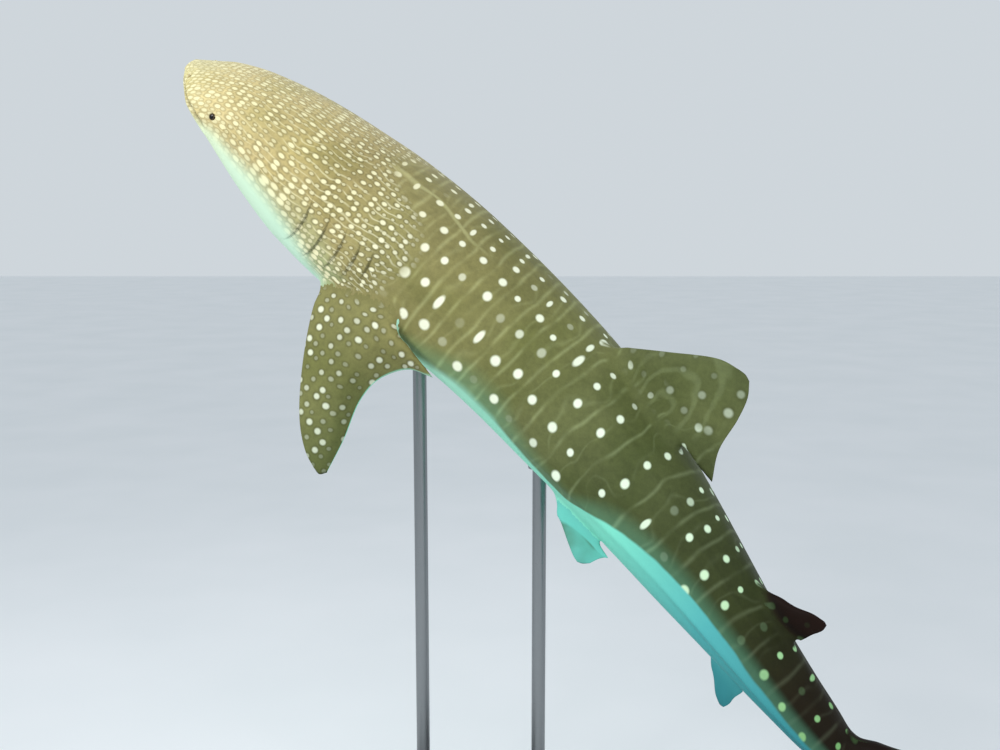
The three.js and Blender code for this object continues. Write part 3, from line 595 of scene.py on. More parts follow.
        # Painted shade: the hide darkens in the mouth's line and in the gill slits, where shade falls in the grooves
        skin = graph.scaled(skin, graph.spread(second["Arch"], -1.0, 0.0, 0.12, 1.0))
        graph.tree.links.new(skin, surface["Base Color"])

        # Scales too fine to see, drawn as grain about 5 mm across, over soft folds about 60 mm across
        height = graph.math("MULTIPLY_ADD", graph.noise(here, 15.0, 3.0), 3.0, graph.noise(here, 190.0))
        graph.tree.links.new(graph.bump(height, 0.2, 0.004), surface["Normal"])
        graph.tree.links.new(graph.spread(mottle, 0.3, 0.7, 0.5, 0.64), surface["Roughness"])
        surface["IOR"].default_value = 1.4
        surface["Specular IOR Level"].default_value = 0.16
        surface["Sheen Weight"].default_value = 0.03
        surface["Sheen Roughness"].default_value = 0.45
        surface["Sheen Tint"].default_value = linear("#e6f2dc")
        return material

    def flank_spots(self, graph: Graph, maps: dict, second: dict) -> bpy.types.NodeSocket:
        """Round spots in transverse columns, 33 mm across near the back and 49 mm low on the flank.

        Args:
            graph: The material's nodes.
            maps: The maps' outputs.
            second: The second number of each map.

        Returns:
            How much of a spot there is, from 0 to 1. A sixth are faint and an eighth drawn out round the body.
        """
        number = graph.vector("FLOOR", maps["Flank"])
        chance = graph.node("ShaderNodeTexWhiteNoise", {"noise_dimensions": "2D"}, {"Vector": number}, "Color")
        luck = graph.part(chance, 2)
        centre = graph.vector("MULTIPLY_ADD", chance, (0.2, 0.26, 0.0), (0.4, 0.37, 0.0))
        away = graph.vector("SUBTRACT", graph.vector("FRACTION", maps["Flank"]), centre)
        away = graph.vector("MULTIPLY", away, maps["Spread"])
        drawn_out = graph.math("GREATER_THAN", luck, 0.88)
        shape = graph.vector("MULTIPLY_ADD", drawn_out, (0.16, -0.46, 0.0), (1.0, 1.0, 0.0))
        distance = graph.vector("LENGTH", graph.vector("MULTIPLY", away, shape))
        radius = graph.spread(graph.math("ABSOLUTE", second["Place"]), 0.05, 0.6, 0.0165, 0.0245)
        radius = graph.math("MULTIPLY", radius, graph.spread(graph.part(chance, 0), 0.0, 1.0, 0.78, 1.14))
        spot = graph.spread(graph.math("DIVIDE", distance, radius), 1.38, 0.72, smooth=True)
        return graph.math("MULTIPLY", spot, graph.spread(luck, 0.08, 0.26, 0.1, 1.0))

    def flecks(self, graph: Graph, maps: dict, second: dict) -> tuple[bpy.types.NodeSocket, bpy.types.NodeSocket]:
        """Crowded flecks about 20 by 30 mm, strewn in loose rows over the head and the paired fins.

        Args:
            graph: The material's nodes.
            maps: The maps' outputs.
            second: The second number of each map.

        Returns:
            How much of a fleck there is, and how bright the hide between the flecks is: darker round each one.
            The small flecks of the fins vary most in strength.
        """
        distance = graph.node("ShaderNodeTexVoronoi", {"voronoi_dimensions": "2D", "feature": "F1"},
                              {"Vector": maps["Fleck"], "Scale": 1.0, "Randomness": 0.46}, "Distance")
        luck = graph.part(distance.node.outputs["Color"], 0)
        bright = graph.spread(luck, 0.3, 0.85, graph.spread(second["Dress"], 0.24, 0.27, 0.24, 0.6), 1.0)
        radius = graph.math("MULTIPLY", second["Dress"], graph.spread(luck, 0.0, 1.0, 0.64, 1.14))
        share = graph.math("DIVIDE", distance, radius)
        fleck = graph.math("MULTIPLY", graph.spread(share, 1.35, 0.6, smooth=True), bright)
        return fleck, graph.spread(share, 1.2, 2.2, 0.78, 1.12, smooth=True)

    def head_lines(self, graph: Graph, maps: dict, station: bpy.types.NodeSocket) -> bpy.types.NodeSocket:
        """Wavy pale lines, about 8 mm wide, that run lengthwise between the rows of flecks on the head.

        Args:
            graph: The material's nodes.
            maps: The maps' outputs.
            station: How far along the animal.

        Returns:
            How strong the lines are.
        """
        size = graph.vector("MULTIPLY", maps["Place"], (TOTAL_LENGTH, 1.0, 0.0))
        rows = graph.math("MULTIPLY_ADD", graph.noise(size, 4.5, flat=True), 2.4, graph.part(maps["Fleck"], 1))
        lines = graph.spread(graph.from_middle(rows), 0.17, 0.03, smooth=True)
        gaps = graph.spread(graph.noise(size, 9.0, 1.0, flat=True), 0.38, 0.56, 0.06, 0.46)
        zone = graph.math("MULTIPLY", graph.spread(station, 0.03, 0.1, 0.5), graph.spread(station, 0.26, 0.24))
        return graph.math("MULTIPLY", graph.math("MULTIPLY", lines, gaps), zone)

    def cross_bars(self, graph: Graph, maps: dict, first: dict, second: dict) -> bpy.types.NodeSocket:
        """Thin pale bars, about 15 mm wide, that cross the back between the columns of spots.

        Args:
            graph: The material's nodes.
            maps: The maps' outputs.
            first: The first number of each map.
            second: The second number of each map.

        Returns:
            How strong the bars are, with fainter broken lines between them and the line down the shoulders.
        """
        station = first["Place"]
        size = graph.vector("MULTIPLY", maps["Place"], (TOTAL_LENGTH, 1.0, 0.0))
        waver = graph.noise(size, 3.4, 1.6, flat=True)
        gaps = graph.spread(graph.noise(size, 6.5, 1.0, flat=True), 0.36, 0.56, 0.25, 1.0)
        lines = []
        for amount, shift, strength in ((0.36, 0.32, 0.3), (1.5, 0.2, 0.12)):
            column = graph.math("ADD", graph.math("MULTIPLY_ADD", waver, amount, first["Flank"]), shift)
            away = graph.math("MULTIPLY", graph.from_middle(column), first["Spread"])
            line = graph.spread(away, 0.019, -0.004, 0.0, strength, smooth=True)
            lines.append(graph.math("MULTIPLY", line, gaps))
        bars = graph.math("MAXIMUM", *lines)
        path = graph.math("MULTIPLY_ADD", waver, 0.12, graph.spread(station, 0.17, 0.3, -0.01, 0.11))
        away = graph.math("ABSOLUTE", graph.math("ADD", second["Place"], path))
        shoulder = graph.spread(away, 0.024, 0.002, 0.0, 0.36, smooth=True)
        shoulder = graph.math("MULTIPLY", shoulder, graph.spread(station, 0.31, 0.27))
        bars = graph.math("MULTIPLY", bars, graph.spread(station, 0.5, 0.75, 1.0, 0.45))
        return graph.math("MAXIMUM", bars, shoulder)

    def arches(self, graph: Graph, first: dict, second: dict, patches: bpy.types.NodeSocket) -> bpy.types.NodeSocket:
        """Arched pale lines, 85 mm apart, where the bars turn over the foot of the first dorsal fin.

        Args:
            graph: The material's nodes.
            first: The first number of each map.
            second: The second number of each map.
            patches: A soft noise that makes the lines wander.

        Returns:
            How strong the lines are.
        """
        count = graph.math("MULTIPLY", first["Arch"], 1.0 / self.arch_step)
        ring = graph.math("MULTIPLY_ADD", patches, 1.6, count)
        line = graph.spread(graph.from_middle(ring), 0.2, 0.03, 0.0, 0.24, smooth=True)
        return graph.math("MULTIPLY", line, graph.math("MAXIMUM", second["Arch"], 0.0))


@dataclass
class Markings:
    """Where the hide's marks lie: columns of spots along the flank, rows round it, and the belly's pale edge."""

    columns: tuple[float, ...] = (
        0.15, 0.172, 0.194, 0.216, 0.237, 0.258, 0.279, 0.3, 0.324, 0.347, 0.369, 0.393, 0.419, 0.449, 0.482,
        0.528, 0.57, 0.597, 0.625, 0.654, 0.682, 0.71, 0.739, 0.764, 0.79, 0.815, 0.84, 0.87, 0.9, 0.93, 0.96,
    )
    belly_edge: tuple[tuple[float, float], ...] = (
        (-0.006, -26), (0.02, -17), (0.035, -9), (0.05, 1), (0.073, 2), (0.095, 4), (0.131, 2), (0.163, -7),
        (0.191, -18), (0.22, -30), (0.28, -33), (0.33, -22), (0.3605, -15), (0.4024, -17), (0.43, -25),
        (0.46, -31), (0.4987, -35), (0.5329, -15), (0.5655, -3), (0.5997, 4), (0.6369, 8), (0.6789, 8),
        (0.7177, 7), (0.7565, 4), (0.79, 3), (0.835, 0),
    )
    first_row: float = 0.1
    row_growth: float = 0.13
    fleck_end: tuple[tuple[float, float], ...] = (
        (-90, 0.27), (7, 0.25), (21, 0.257), (44, 0.247), (59, 0.23), (67, 0.206), (80, 0.19), (90, 0.186),
    )

    def __post_init__(self) -> None:
        """Draws the smooth curves through the rows of places."""
        self.count = smooth_through(list(self.columns), [k + 0.5 for k in range(len(self.columns))])
        self.edge = smooth_through([p for p, _ in self.belly_edge], [v for _, v in self.belly_edge])
        self.last_fleck = smooth_through([p for p, _ in self.fleck_end], [v for _, v in self.fleck_end])

    def flank(self, station: Array, girth: Array) -> tuple[Array, Array]:
        """Finds a place's column and row of spots.

        Args:
            station: How far along the animal.
            girth: Distance round the body from the middle of the back, below 0 on the left.

        Returns:
            The column and row, and the metres that one of each takes.
        """
        rate = (self.count(station + 0.003) - self.count(station - 0.003)) / 0.006
        row = np.sign(girth) * np.log1p(self.row_growth * np.abs(girth) / self.first_row) / self.row_growth
        spread = [TOTAL_LENGTH / np.maximum(rate, 20.0), self.first_row + self.row_growth * np.abs(girth)]
        return np.stack([self.count(station), row + 0.5], -1), np.stack(spread, -1)

    def under(self, station: Array, elevation: Array) -> Array:
        """How far a place lies under the belly's edge, in steps of 15 degrees."""
        return (self.edge(station) - elevation) / 15.0


@dataclass(frozen=True)
class Dress:
    """How a fin is marked and how pale its two faces and its trailing rim are."""

    flecks: float
    radius: float = 0.26
    cell: tuple[float, float] = (0.085, 0.075)
    tone: tuple[float, float] = (0.5, 0.5)
    upper_pale: float = -3.0
    under_pale: float = -3.0
    rim: float = 0.0
    rim_width: float = 0.02
    marks_end: tuple[float, float] = (0.15, 0.4)
    root_pale: float | None = None
    arch: tuple[float, float] = (0.0, 0.0)
    arch_strength: float = 0.0


@dataclass
class Fin:
    """A fin as a patch between four edges, thickened alike on both faces."""

    name: str
    body: BodyShape
    markings: Markings
    root: Array
    tip: Array
    lead: Array
    trail: Array
    thick: float
    edge: float
    around: int
    outward: int
    dress: Dress
    bake_corner: tuple[float, float]
    bake_size: tuple[float, float]
    over: Curve | None = None
    up: int = 1
    fullness: float = 2.6
    roundness: float = 1.6
    face_shift: float = 9.3

    def middle(self, u: Array, v: Array) -> Array:
        """Points of the fin's middle surface, u from the leading to the trailing edge and v out to the tip."""
        shape = u.shape
        u, v = u.ravel(), v.ravel()
        root, tip = curve_through(self.root, u), curve_through(self.tip, u)
        lead, trail = curve_through(self.lead, v), curve_through(self.trail, v)
        u, v = u[:, None], v[:, None]
        ends = root * (1 - v) + tip * v
        front = lead - self.root[0] * (1 - v) - self.tip[0] * v
        rear = trail - self.root[-1] * (1 - v) - self.tip[-1] * v
        return (ends + front * (1 - u) + rear * u).reshape(*shape, 3)

    def build(self) -> bpy.types.Object:
        """Builds the closed fin, whose root ends inside the body.

        Returns:
            The fin.
        """
        columns = int(self.around * DETAIL) // 2 * 2 + 1
        rows = int(self.outward * DETAIL) + 1
        theta = np.linspace(-np.pi, np.pi, columns)
        v, theta = np.meshgrid(np.linspace(0.0, 1.0, rows), theta, indexing="ij")
        u = (1 - np.cos(theta)) / 2
        u[:, 0] = u[:, -1] = 1.0
        small, last = 0.01, 0.97
        inner = np.minimum(v, last)
        du = self.middle(np.minimum(u + small, 1), inner) - self.middle(np.maximum(u - small, 0), inner)
        before = np.minimum(v, last - small) - small * (v > small)
        dv = self.middle(u, np.minimum(v + small, last)) - self.middle(u, before)
        normal = np.cross(du, dv)
        normal /= np.linalg.norm(normal, axis=-1, keepdims=True)
        fade = 1 - ramp(0, 1, v) * 0.8
        half = self.thick * fade * np.sqrt(u) * (1 - u) * self.fullness * (1 - v**6) + self.edge * (1 - 0.5 * v)
        half = half / 2 * np.minimum(1.0, np.sqrt(np.abs(np.sin(theta))) * self.roundness)
        half = half * np.sqrt(1 - v**8) * np.sqrt(np.minimum(1.0, v / 0.05))
        half[:, 0] = half[:, -1] = 0.0
        half[0] = half[-1] = 0.0
        middle = self.middle(u, v)
        places = middle + normal * (np.sign(theta) * half)[..., None]
        return as_mesh_grid(self.name, self.body.spine.to_world(places), self.layers(middle, normal, u, v, theta))

    def layers(self, middle: Array, normal: Array, u: Array, v: Array, theta: Array) -> dict[str, Array]:
        """Works out the maps that the fin's markings are drawn from, so that they carry on from the body's.

        Args:
            middle: The points of the middle surface.
            normal: Their directions across the fin.
            u: Place from the leading to the trailing edge.
            v: Place from the root to the tip.
            theta: Turn round the fin's section.

        Returns:
            The UV maps by name.
        """
        dress = self.dress
        face = np.where(theta > 0, 1.0, -1.0)
        span = np.linalg.norm(self.tip[1] - self.root[len(self.root) // 2])
        across = normal.reshape(-1, 3).mean(axis=0)
        across /= np.linalg.norm(across)
        chord = self.root[-1] - self.root[0]
        chord = chord - across * (chord @ across)
        chord /= np.linalg.norm(chord)
        apart = middle - self.root[0]
        column = apart @ chord / dress.cell[0] + self.face_shift * face
        fleck = np.stack([column, apart @ np.cross(across, chord) / dress.cell[1]], -1)
        spine = self.body.spine
        away = ramp(0.1, 0.45, v)
        rim = ramp(1 - 2 * dress.rim_width, 1 - 0.6 * dress.rim_width, u) * dress.rim
        tone = dress.tone[0] * (1 - v) + dress.tone[1] * v
        arch = np.zeros((*u.shape, 2))
        if self.over is None:
            facing = face * np.sign(np.mean(normal[..., 2]))
            pale = np.where(facing > 0, dress.upper_pale, dress.under_pale)
            if dress.root_pale is not None:
                pale = dress.root_pale + (pale - dress.root_pale) * ramp(0.05, 0.4, v)
            # Paired fins: their tone darkens and their flecks fade from root to tip, partly as painted shade where
            # the light falls off towards the tip
            station, girth, marks_off = tone, v * span, np.ones_like(u)
            flecks = dress.flecks * (1 - 0.4 * v)
        else:
            station = np.interp(middle[..., 0], spine.places[:, 0], spine.stations)
            height = self.up * middle[..., 2] / TOTAL_LENGTH - self.over(station)
            hand = face * np.sign(np.mean(normal[..., 1]))
            girth = hand * (0.05 + np.maximum(height, 0.0) * TOTAL_LENGTH)
            tall = np.where(middle[..., 2] > 0, self.body.back(station), self.body.belly(station)) * TOTAL_LENGTH
            slope = np.clip(np.abs(middle[..., 2]) / tall, 0.0, 1.0) ** (SECTION_POWER / 2)
            elevation = np.sign(middle[..., 2]) * np.degrees(np.arcsin(slope))
            under = np.clip(self.markings.under(station, elevation), -3.0, 3.0)
            pale = under * (1 - away) + dress.upper_pale * away
            radius = TOTAL_LENGTH * np.hypot(station - dress.arch[0], (height - dress.arch[1]) / 2.1)
            arch = np.stack([radius, dress.arch_strength * (1 - ramp(0.16, 0.34, radius)) * ramp(0.12, 0.24, v)], -1)
            marks_off = ramp(*dress.marks_end, v)
            flecks = dress.flecks * marks_off
            tone = station * (1 - away) + tone * away
        flank, spread = self.markings.flank(station, girth)
        bake = [self.bake_corner[0] + (theta / (2 * np.pi) + 0.5) * self.bake_size[0],
                self.bake_corner[1] + v * self.bake_size[1]]
        return {
            "OFBake": np.stack(bake, -1),
            "Flank": flank,
            "Spread": spread,
            "Place": np.stack([tone, girth], -1),
            "Tone": np.stack([pale * (1 - rim) + 0.5 * rim, marks_off], -1),
            "Fleck": fleck,
            "Dress": np.stack([flecks, np.full_like(u, dress.radius)], -1),
            "Arch": arch,
        }


@dataclass
class FinSet:
    """All the fins, from the same named sizes as the solids."""

    spine: Spine
    body: BodyShape
    markings: Markings

    def middle_fin(self, name: str, marks: dict[str, tuple[tuple[float, float], ...]], surface: Curve, hand: int,
                   **sizes: object) -> Fin:
        """Lays out a fin that stands in the body's own plane.

        Args:
            name: Its name.
            marks: The four edges as stations and heights over the surface.
            surface: Height of the back or belly at a station.
            hand: 1 over the back and -1 under the belly.
            sizes: Its thickness, mesh and markings.

        Returns:
            The fin.
        """
        edges = {}
        for key, points in marks.items():
            station, rise = np.array(points, float).T
            edges[key] = self.spine.place(station, np.zeros_like(station), hand * (surface(station) + rise))
        sizes.setdefault("up", hand)
        return Fin(name=name, body=self.body, markings=self.markings, over=surface, **edges, **sizes)

    def paired_fin(self, name: str, hand: Hand, origin: tuple[float, float], base: tuple[tuple[float, ...], ...],
                   tip: tuple[tuple[float, ...], ...], lead: tuple[tuple[float, ...], ...],
                   trail: tuple[tuple[float, ...], ...], **sizes: object) -> Fin:
        """Lays out one fin of a pair.

        Args:
            name: Its name.
            hand: Its side.
            origin: Station and elevation that the offsets are counted from.
            base: Station, elevation and depth under the skin of the root's points.
            tip: Offsets back, outwards and up of the tip's points.
            lead: The same for the leading edge.
            trail: The same for the trailing edge.
            sizes: Its thickness, mesh and markings.

        Returns:
            The fin.
        """
        start = self.body.skin(np.array(origin[0]), np.array(origin[1]), hand.value)
        along, right = self.spine.directions(np.array(origin[0]))
        axes = np.stack([along, right * hand.value, np.array([0.0, 0.0, 1.0])])

        def out(offsets: tuple[tuple[float, ...], ...]) -> Array:
            """Finds the points of an edge."""
            return start + np.array(offsets) @ axes * TOTAL_LENGTH

        root = np.array([
            self.body.skin(np.array(s), np.array(e), hand.value)
            - self.body.normal(s, e, hand.value) * sunk * TOTAL_LENGTH
            for s, e, sunk in base
        ])
        tips = out(tip)
        return Fin(name=name, body=self.body, markings=self.markings, root=root, tip=tips,
                   lead=np.vstack([root[:1], out(lead), tips[:1]]),
                   trail=np.vstack([root[-1:], out(trail), tips[-1:]]), **sizes)

    def all(self) -> list[Fin]:
        """Lays out every fin."""
        fins = [
            self.middle_fin("fin_dorsal_first", {
                "root": ((0.405, -0.012), (0.46, -0.012), (0.512, -0.012), (0.531, 0.0035), (0.569, 0.0125)),
                "tip": ((0.515, 0.0872), (0.521, 0.0893), (0.527, 0.089)),
                "lead": ((0.405, -0.012), (0.43, 0.0075), (0.464, 0.0415), (0.498, 0.0775), (0.515, 0.0872)),
                "trail": ((0.569, 0.0125), (0.553, 0.033), (0.544, 0.0625), (0.536, 0.08), (0.527, 0.089)),
            }, self.body.back, 1, thick=0.115, edge=0.01, around=72, outward=38,
                dress=Dress(0.42, 0.16, (0.13, 0.13), (0.47, 0.53), rim=0.3, arch=(0.497, 0.004), arch_strength=0.55),
                bake_corner=(0.01, 0.55), bake_size=(0.3, 0.13)),
            self.middle_fin("fin_dorsal_second", {
                "root": ((0.648, -0.008), (0.668, -0.0085), (0.688, -0.007), (0.702, -0.002), (0.712, 0.005)),
                "tip": ((0.705, 0.0355), (0.708, 0.0368), (0.711, 0.0365)),
                "lead": ((0.648, -0.008), (0.66, 0.006), (0.685, 0.0205), (0.698, 0.0315), (0.705, 0.0355)),
                "trail": ((0.712, 0.005), (0.7105, 0.019), (0.7125, 0.031), (0.711, 0.0365)),
            }, self.body.back, 1, thick=0.06, edge=0.008, around=44, outward=20,
                dress=Dress(0.1, 0.15, (0.12, 0.12), (0.95, 1.0), marks_end=(0.0, 0.12)),
                bake_corner=(0.01, 0.93), bake_size=(0.14, 0.06)),
            self.middle_fin("fin_anal", {
                "root": ((0.662, -0.008), (0.68, -0.0085), (0.698, -0.007), (0.71, -0.002), (0.72, 0.005)),
                "tip": ((0.712, 0.034), (0.7155, 0.0352), (0.719, 0.0345)),
                "lead": ((0.662, -0.008), (0.674, 0.006), (0.694, 0.02), (0.706, 0.0305), (0.712, 0.034)),
                "trail": ((0.72, 0.005), (0.7175, 0.018), (0.7195, 0.028), (0.719, 0.0345)),
            }, self.body.belly, -1, thick=0.055, edge=0.008, around=44, outward=20,
                dress=Dress(0.0, 0.15, (0.1, 0.1), (0.72, 0.78), 0.45, 0.45),
                bake_corner=(0.16, 0.93), bake_size=(0.14, 0.06)),
            self.middle_fin("tail_lobe_upper", {
                "root": ((0.7765, 0.0), (0.8, 0.0), (0.848, 0.004)),
                "tip": ((0.966, 0.1585), (0.97, 0.16), (0.975, 0.156)),
                "lead": ((0.7765, 0.0), (0.793, 0.022), (0.8143, 0.0385), (0.86, 0.081), (0.912, 0.126),
                         (0.966, 0.1585)),
                "trail": ((0.848, 0.004), (0.882, 0.029), (0.92, 0.066), (0.953, 0.108), (0.975, 0.156)),
            }, np.zeros_like, 1, thick=0.125, edge=0.011, around=56, outward=84,
                dress=Dress(0.6, 0.16, (0.12, 0.11), (0.84, 0.9), marks_end=(0.04, 0.14)),
                bake_corner=(0.32, 0.55), bake_size=(0.2, 0.4)),
            self.middle_fin("tail_lobe_lower", {
                "root": ((0.7768, 0.001), (0.8, 0.001), (0.848, 0.006)),
                "tip": ((0.861, -0.118), (0.865, -0.12), (0.869, -0.116)),
                "lead": ((0.7768, 0.001), (0.785, -0.02), (0.806, -0.062), (0.834, -0.098), (0.861, -0.118)),
                "trail": ((0.848, 0.006), (0.853, -0.02), (0.858, -0.052), (0.865, -0.086), (0.869, -0.116)),
            }, np.zeros_like, 1, thick=0.1, edge=0.01, around=48, outward=48,
                dress=Dress(0.4, 0.15, (0.12, 0.11), (0.84, 0.88), marks_end=(0.1, 0.25)), up=-1,
                bake_corner=(0.01, 0.7), bake_size=(0.2, 0.2)),
        ]
        for hand, shift in ((Hand.LEFT, 0.0), (Hand.RIGHT, 0.235)):
            side = hand.name.lower()
            fins.append(self.paired_fin(
                f"fin_pectoral_{side}", hand, (0.203, -33),
                ((0.199, -38, 0.016), (0.23, -19, 0.018), (0.256, -1, 0.014), (0.288, -12, -0.006),
                 (0.338, -26, -0.008)),
                ((0.1035, 0.08, -0.096), (0.1105, 0.081, -0.0965), (0.1145, 0.078, -0.0925)),
                ((0.014, 0.016, -0.021), (0.045, 0.047, -0.059), (0.07, 0.066, -0.0815), (0.09, 0.076, -0.0925)),
                ((0.1085, 0.008, -0.006), (0.095, 0.0215, -0.025), (0.095, 0.036, -0.0435), (0.1065, 0.058, -0.069)),
                thick=0.1, edge=0.012, around=80, outward=54,
                # Tone from 0.3 at the root to 0.48 at the tip, so the tip reads darker: partly painted shade
                dress=Dress(0.9, 0.23, (0.062, 0.06), (0.3, 0.48), -3.0, 1.5, rim=1.0),
                bake_corner=(0.53 + shift, 0.55), bake_size=(0.23, 0.21),
            ))
            fins.append(self.paired_fin(
                f"fin_pelvic_{side}", hand, (0.5, -58),
                ((0.486, -64, 0.012), (0.504, -62, 0.012), (0.524, -62, 0.009), (0.545, -62, 0.001),
                 (0.566, -60, -0.006)),
                ((0.0505, 0.0125, -0.0185), (0.0545, 0.0105, -0.0165), (0.058, 0.007, -0.0125)),
                ((0.0, 0.0055, -0.0075), (0.0155, 0.0075, -0.0105), (0.032, 0.0105, -0.015), (0.045, 0.0125, -0.018)),
                ((0.062, -0.0015, -0.0025), (0.0595, 0.002, -0.0065)),
                thick=0.04, edge=0.008, around=44, outward=22,
                dress=Dress(0.1, 0.15, (0.1, 0.1), (0.6, 0.62), -0.03, 1.2, root_pale=2.5),
                bake_corner=(0.53 + shift, 0.78), bake_size=(0.15, 0.07),
            ))
        return fins


@dataclass
class Skin:
    """The whole hide of the animal in one piece: body and fins welded, with their roots faired."""

    spine: Spine
    body: BodyShape
    markings: Markings
    around: int = 160
    start: float = -0.006
    end: float = 0.835
    snout_round: float = 0.013
    reach: float = 0.13
    fleck_cell: tuple[float, float] = (0.059, 0.039)
    snout_cell: tuple[float, float] = (0.037, 0.026)
    snout_step: float = 0.0011
    step_growth: float = 0.0016
    fleck_start: float = 0.08
    # How much painted shade darkens the mouth's line and the gill slits
    mouth_painted_shade: float = 0.75
    gill_painted_shade: float = 0.42
    seam_steps: int = 60
    smoothing: int = 48
    smoothing_step: float = 0.6

    def stations(self) -> Array:
        """Rings along the body: close at the snout, and on both sides of each gill slit."""
        marks = [self.start]
        while marks[-1] < self.end:
            step = self.snout_step + self.step_growth * float(ramp(0.0, 0.1, np.array(marks[-1])))
            marks.append(marks[-1] + step / DETAIL)
        marks = np.minimum(np.array(marks), self.end)
        width = self.body.slit_width
        extra = [at + k * width for at, _, _ in self.body.gill_slits for k in (-0.6, 0.0, 0.5, 1.0, 1.5, 2.0)]
        near = np.min(np.abs(marks[:, None] - np.array(extra)[None]), axis=1) > width * 0.9
        return np.unique(np.concatenate([marks[near], extra]))

    def dents(self) -> list[tuple[Array, Array, float, float, float]]:
        """Eye sockets, spiracles and nostrils: centre, outward direction, radius, depth and height of the rim."""
        body, dents = self.body, []
        for hand in Hand:
            for station, radius, depth, rim in (
                (body.eye_station, body.eye_radius, body.socket_depth, body.socket_rim),
                (body.spiracle_station, body.spiracle_radius, body.spiracle_depth, body.spiracle_rim),
            ):
                centre = body.skin(np.array(station), np.array(body.eye_elevation), hand.value)
                dents.append((centre, body.normal(station, body.eye_elevation, hand.value), radius, depth, rim))
            centre = self.spine.place(body.nostril[0], hand.value * body.nostril[1], body.nostril[2])
            facing = np.array([-0.96, hand.value * 0.2, 0.2])
            dents.append((centre, facing, body.nostril_radius, body.nostril_depth, body.nostril_rim))
        return dents

    def body_piece(self) -> bpy.types.Object:
        """Shapes the body from the snout to its end inside the tail fin."""
        stations = self.stations()
        columns = int(self.around * DETAIL) // 2 * 2 + 1
        turn = np.linspace(-180.0, 180.0, columns)
        s, turn = np.meshgrid(stations, turn, indexing="ij")
        places = self.body.skin(s, 90.0 - np.abs(turn), np.where(turn < 0, -1.0, 1.0))
        first, last = places[0], places[-1]
        axis = self.spine.place(self.start, 0.0, 0.0)
        ahead = self.spine.directions(np.array(self.start))[0] * self.snout_round
        cap = [axis + (first - axis) * math.sin(f) - ahead * math.cos(f) for f in np.linspace(0, np.pi / 2, 9)[:-1]]
        centre = last[:-1].mean(axis=0)
        tail = [centre + (last - centre) * k for k in (0.5, 0.0)]
        places = np.concatenate([np.array(cap), places, np.array(tail)])
        s = np.concatenate([np.full((len(cap), columns), self.start), s, np.full((2, columns), self.end)])
        turn = np.broadcast_to(turn[0], s.shape)
        plain = places
        places = self.dented(places, s)
        return as_mesh_grid("body", self.spine.to_world(places), self.layers(plain, s, 90.0 - np.abs(turn)))

    def dented(self, places: Array, s: Array) -> Array:
        """Presses the mouth's line, the eye sockets, spiracles and nostrils into the head."""
        along = np.gradient(places, axis=0)
        around = np.gradient(places, axis=1)
        around[:, 0] = around[:, -1] = places[:, 1] - places[:, -2]
        normal = np.cross(around, along)
        length = np.linalg.norm(normal, axis=-1, keepdims=True)
        normal = normal / np.where(length > 1e-12, length, 1.0)
        outward = places - self.spine.place(s, np.zeros_like(s), np.zeros_like(s))
        normal *= np.sign(np.sum(normal * outward, axis=-1, keepdims=True) + 1e-9)
        rise = places[..., 2] - self.body.mouth_height(s) * TOTAL_LENGTH
        corner = 1 - ramp(self.body.mouth_corner - 0.002, self.body.mouth_corner + 0.003, s)
        line = self.body.mouth_depth * bump_at(rise, 0.0, self.body.mouth_width)
        moved = places - normal * (line * corner)[..., None]
        for centre, out, radius, depth, rim in self.dents():
            apart = places - centre
            beside = apart - np.sum(apart * out, axis=-1, keepdims=True) * out
            distance = np.linalg.norm(beside, axis=-1)
            near = np.linalg.norm(apart, axis=-1) < radius * 4
            hollow = np.clip(1 - (distance / radius) ** 2, 0, 1) * depth
            lip = bump_at(distance, radius * 1.2, radius * 0.28) * rim
            moved += out * ((lip - hollow) * near)[..., None]
        return moved

    def layers(self, places: Array, s: Array, e: Array) -> dict[str, Array]:
        """Works out the maps that the hide's markings are drawn from.

        Args:
            places: The body's points.
            s: Their stations.
            e: Their elevations.

        Returns:
            The UV maps by name.
        """
        middle = s.shape[1] // 2
        steps = np.linalg.norm(np.diff(places, axis=1), axis=-1)
        arc = np.concatenate([np.zeros((len(s), 1)), np.cumsum(steps, axis=1)], axis=1)
        girth = arc - arc[:, middle:middle + 1]
        moves = np.linalg.norm(np.diff(places, axis=0), axis=-1)
        run = np.concatenate([np.zeros((1, s.shape[1])), np.cumsum(moves, axis=0)])
        row_at = int(np.searchsorted(s[:, 0], self.fleck_start))
        ahead = run - run[row_at:row_at + 1] + self.fleck_start * TOTAL_LENGTH
        flank, spread = self.markings.flank(s, girth)
        grown = ramp(0.02, 0.16, s)
        cell_x = self.snout_cell[0] + (self.fleck_cell[0] - self.snout_cell[0]) * grown * 0.6
        cell_y = self.snout_cell[1] + (self.fleck_cell[1] - self.snout_cell[1]) * grown
        fleck_row = girth / cell_y
        under = self.markings.under(s, e)
        last = self.markings.last_fleck(e)
        flecked = 1 - ramp(-0.012, 0.012, s - last)
        radius = 0.38 - 0.1 * ramp(0.02, 0.09, s) - 0.01 * ramp(0.09, 0.17, s) + 0.12 * ramp(-1.0, 0.1, under)
        length = run.mean(axis=1, keepdims=True)
        bake_along = (length / length[-1]) ** 0.85
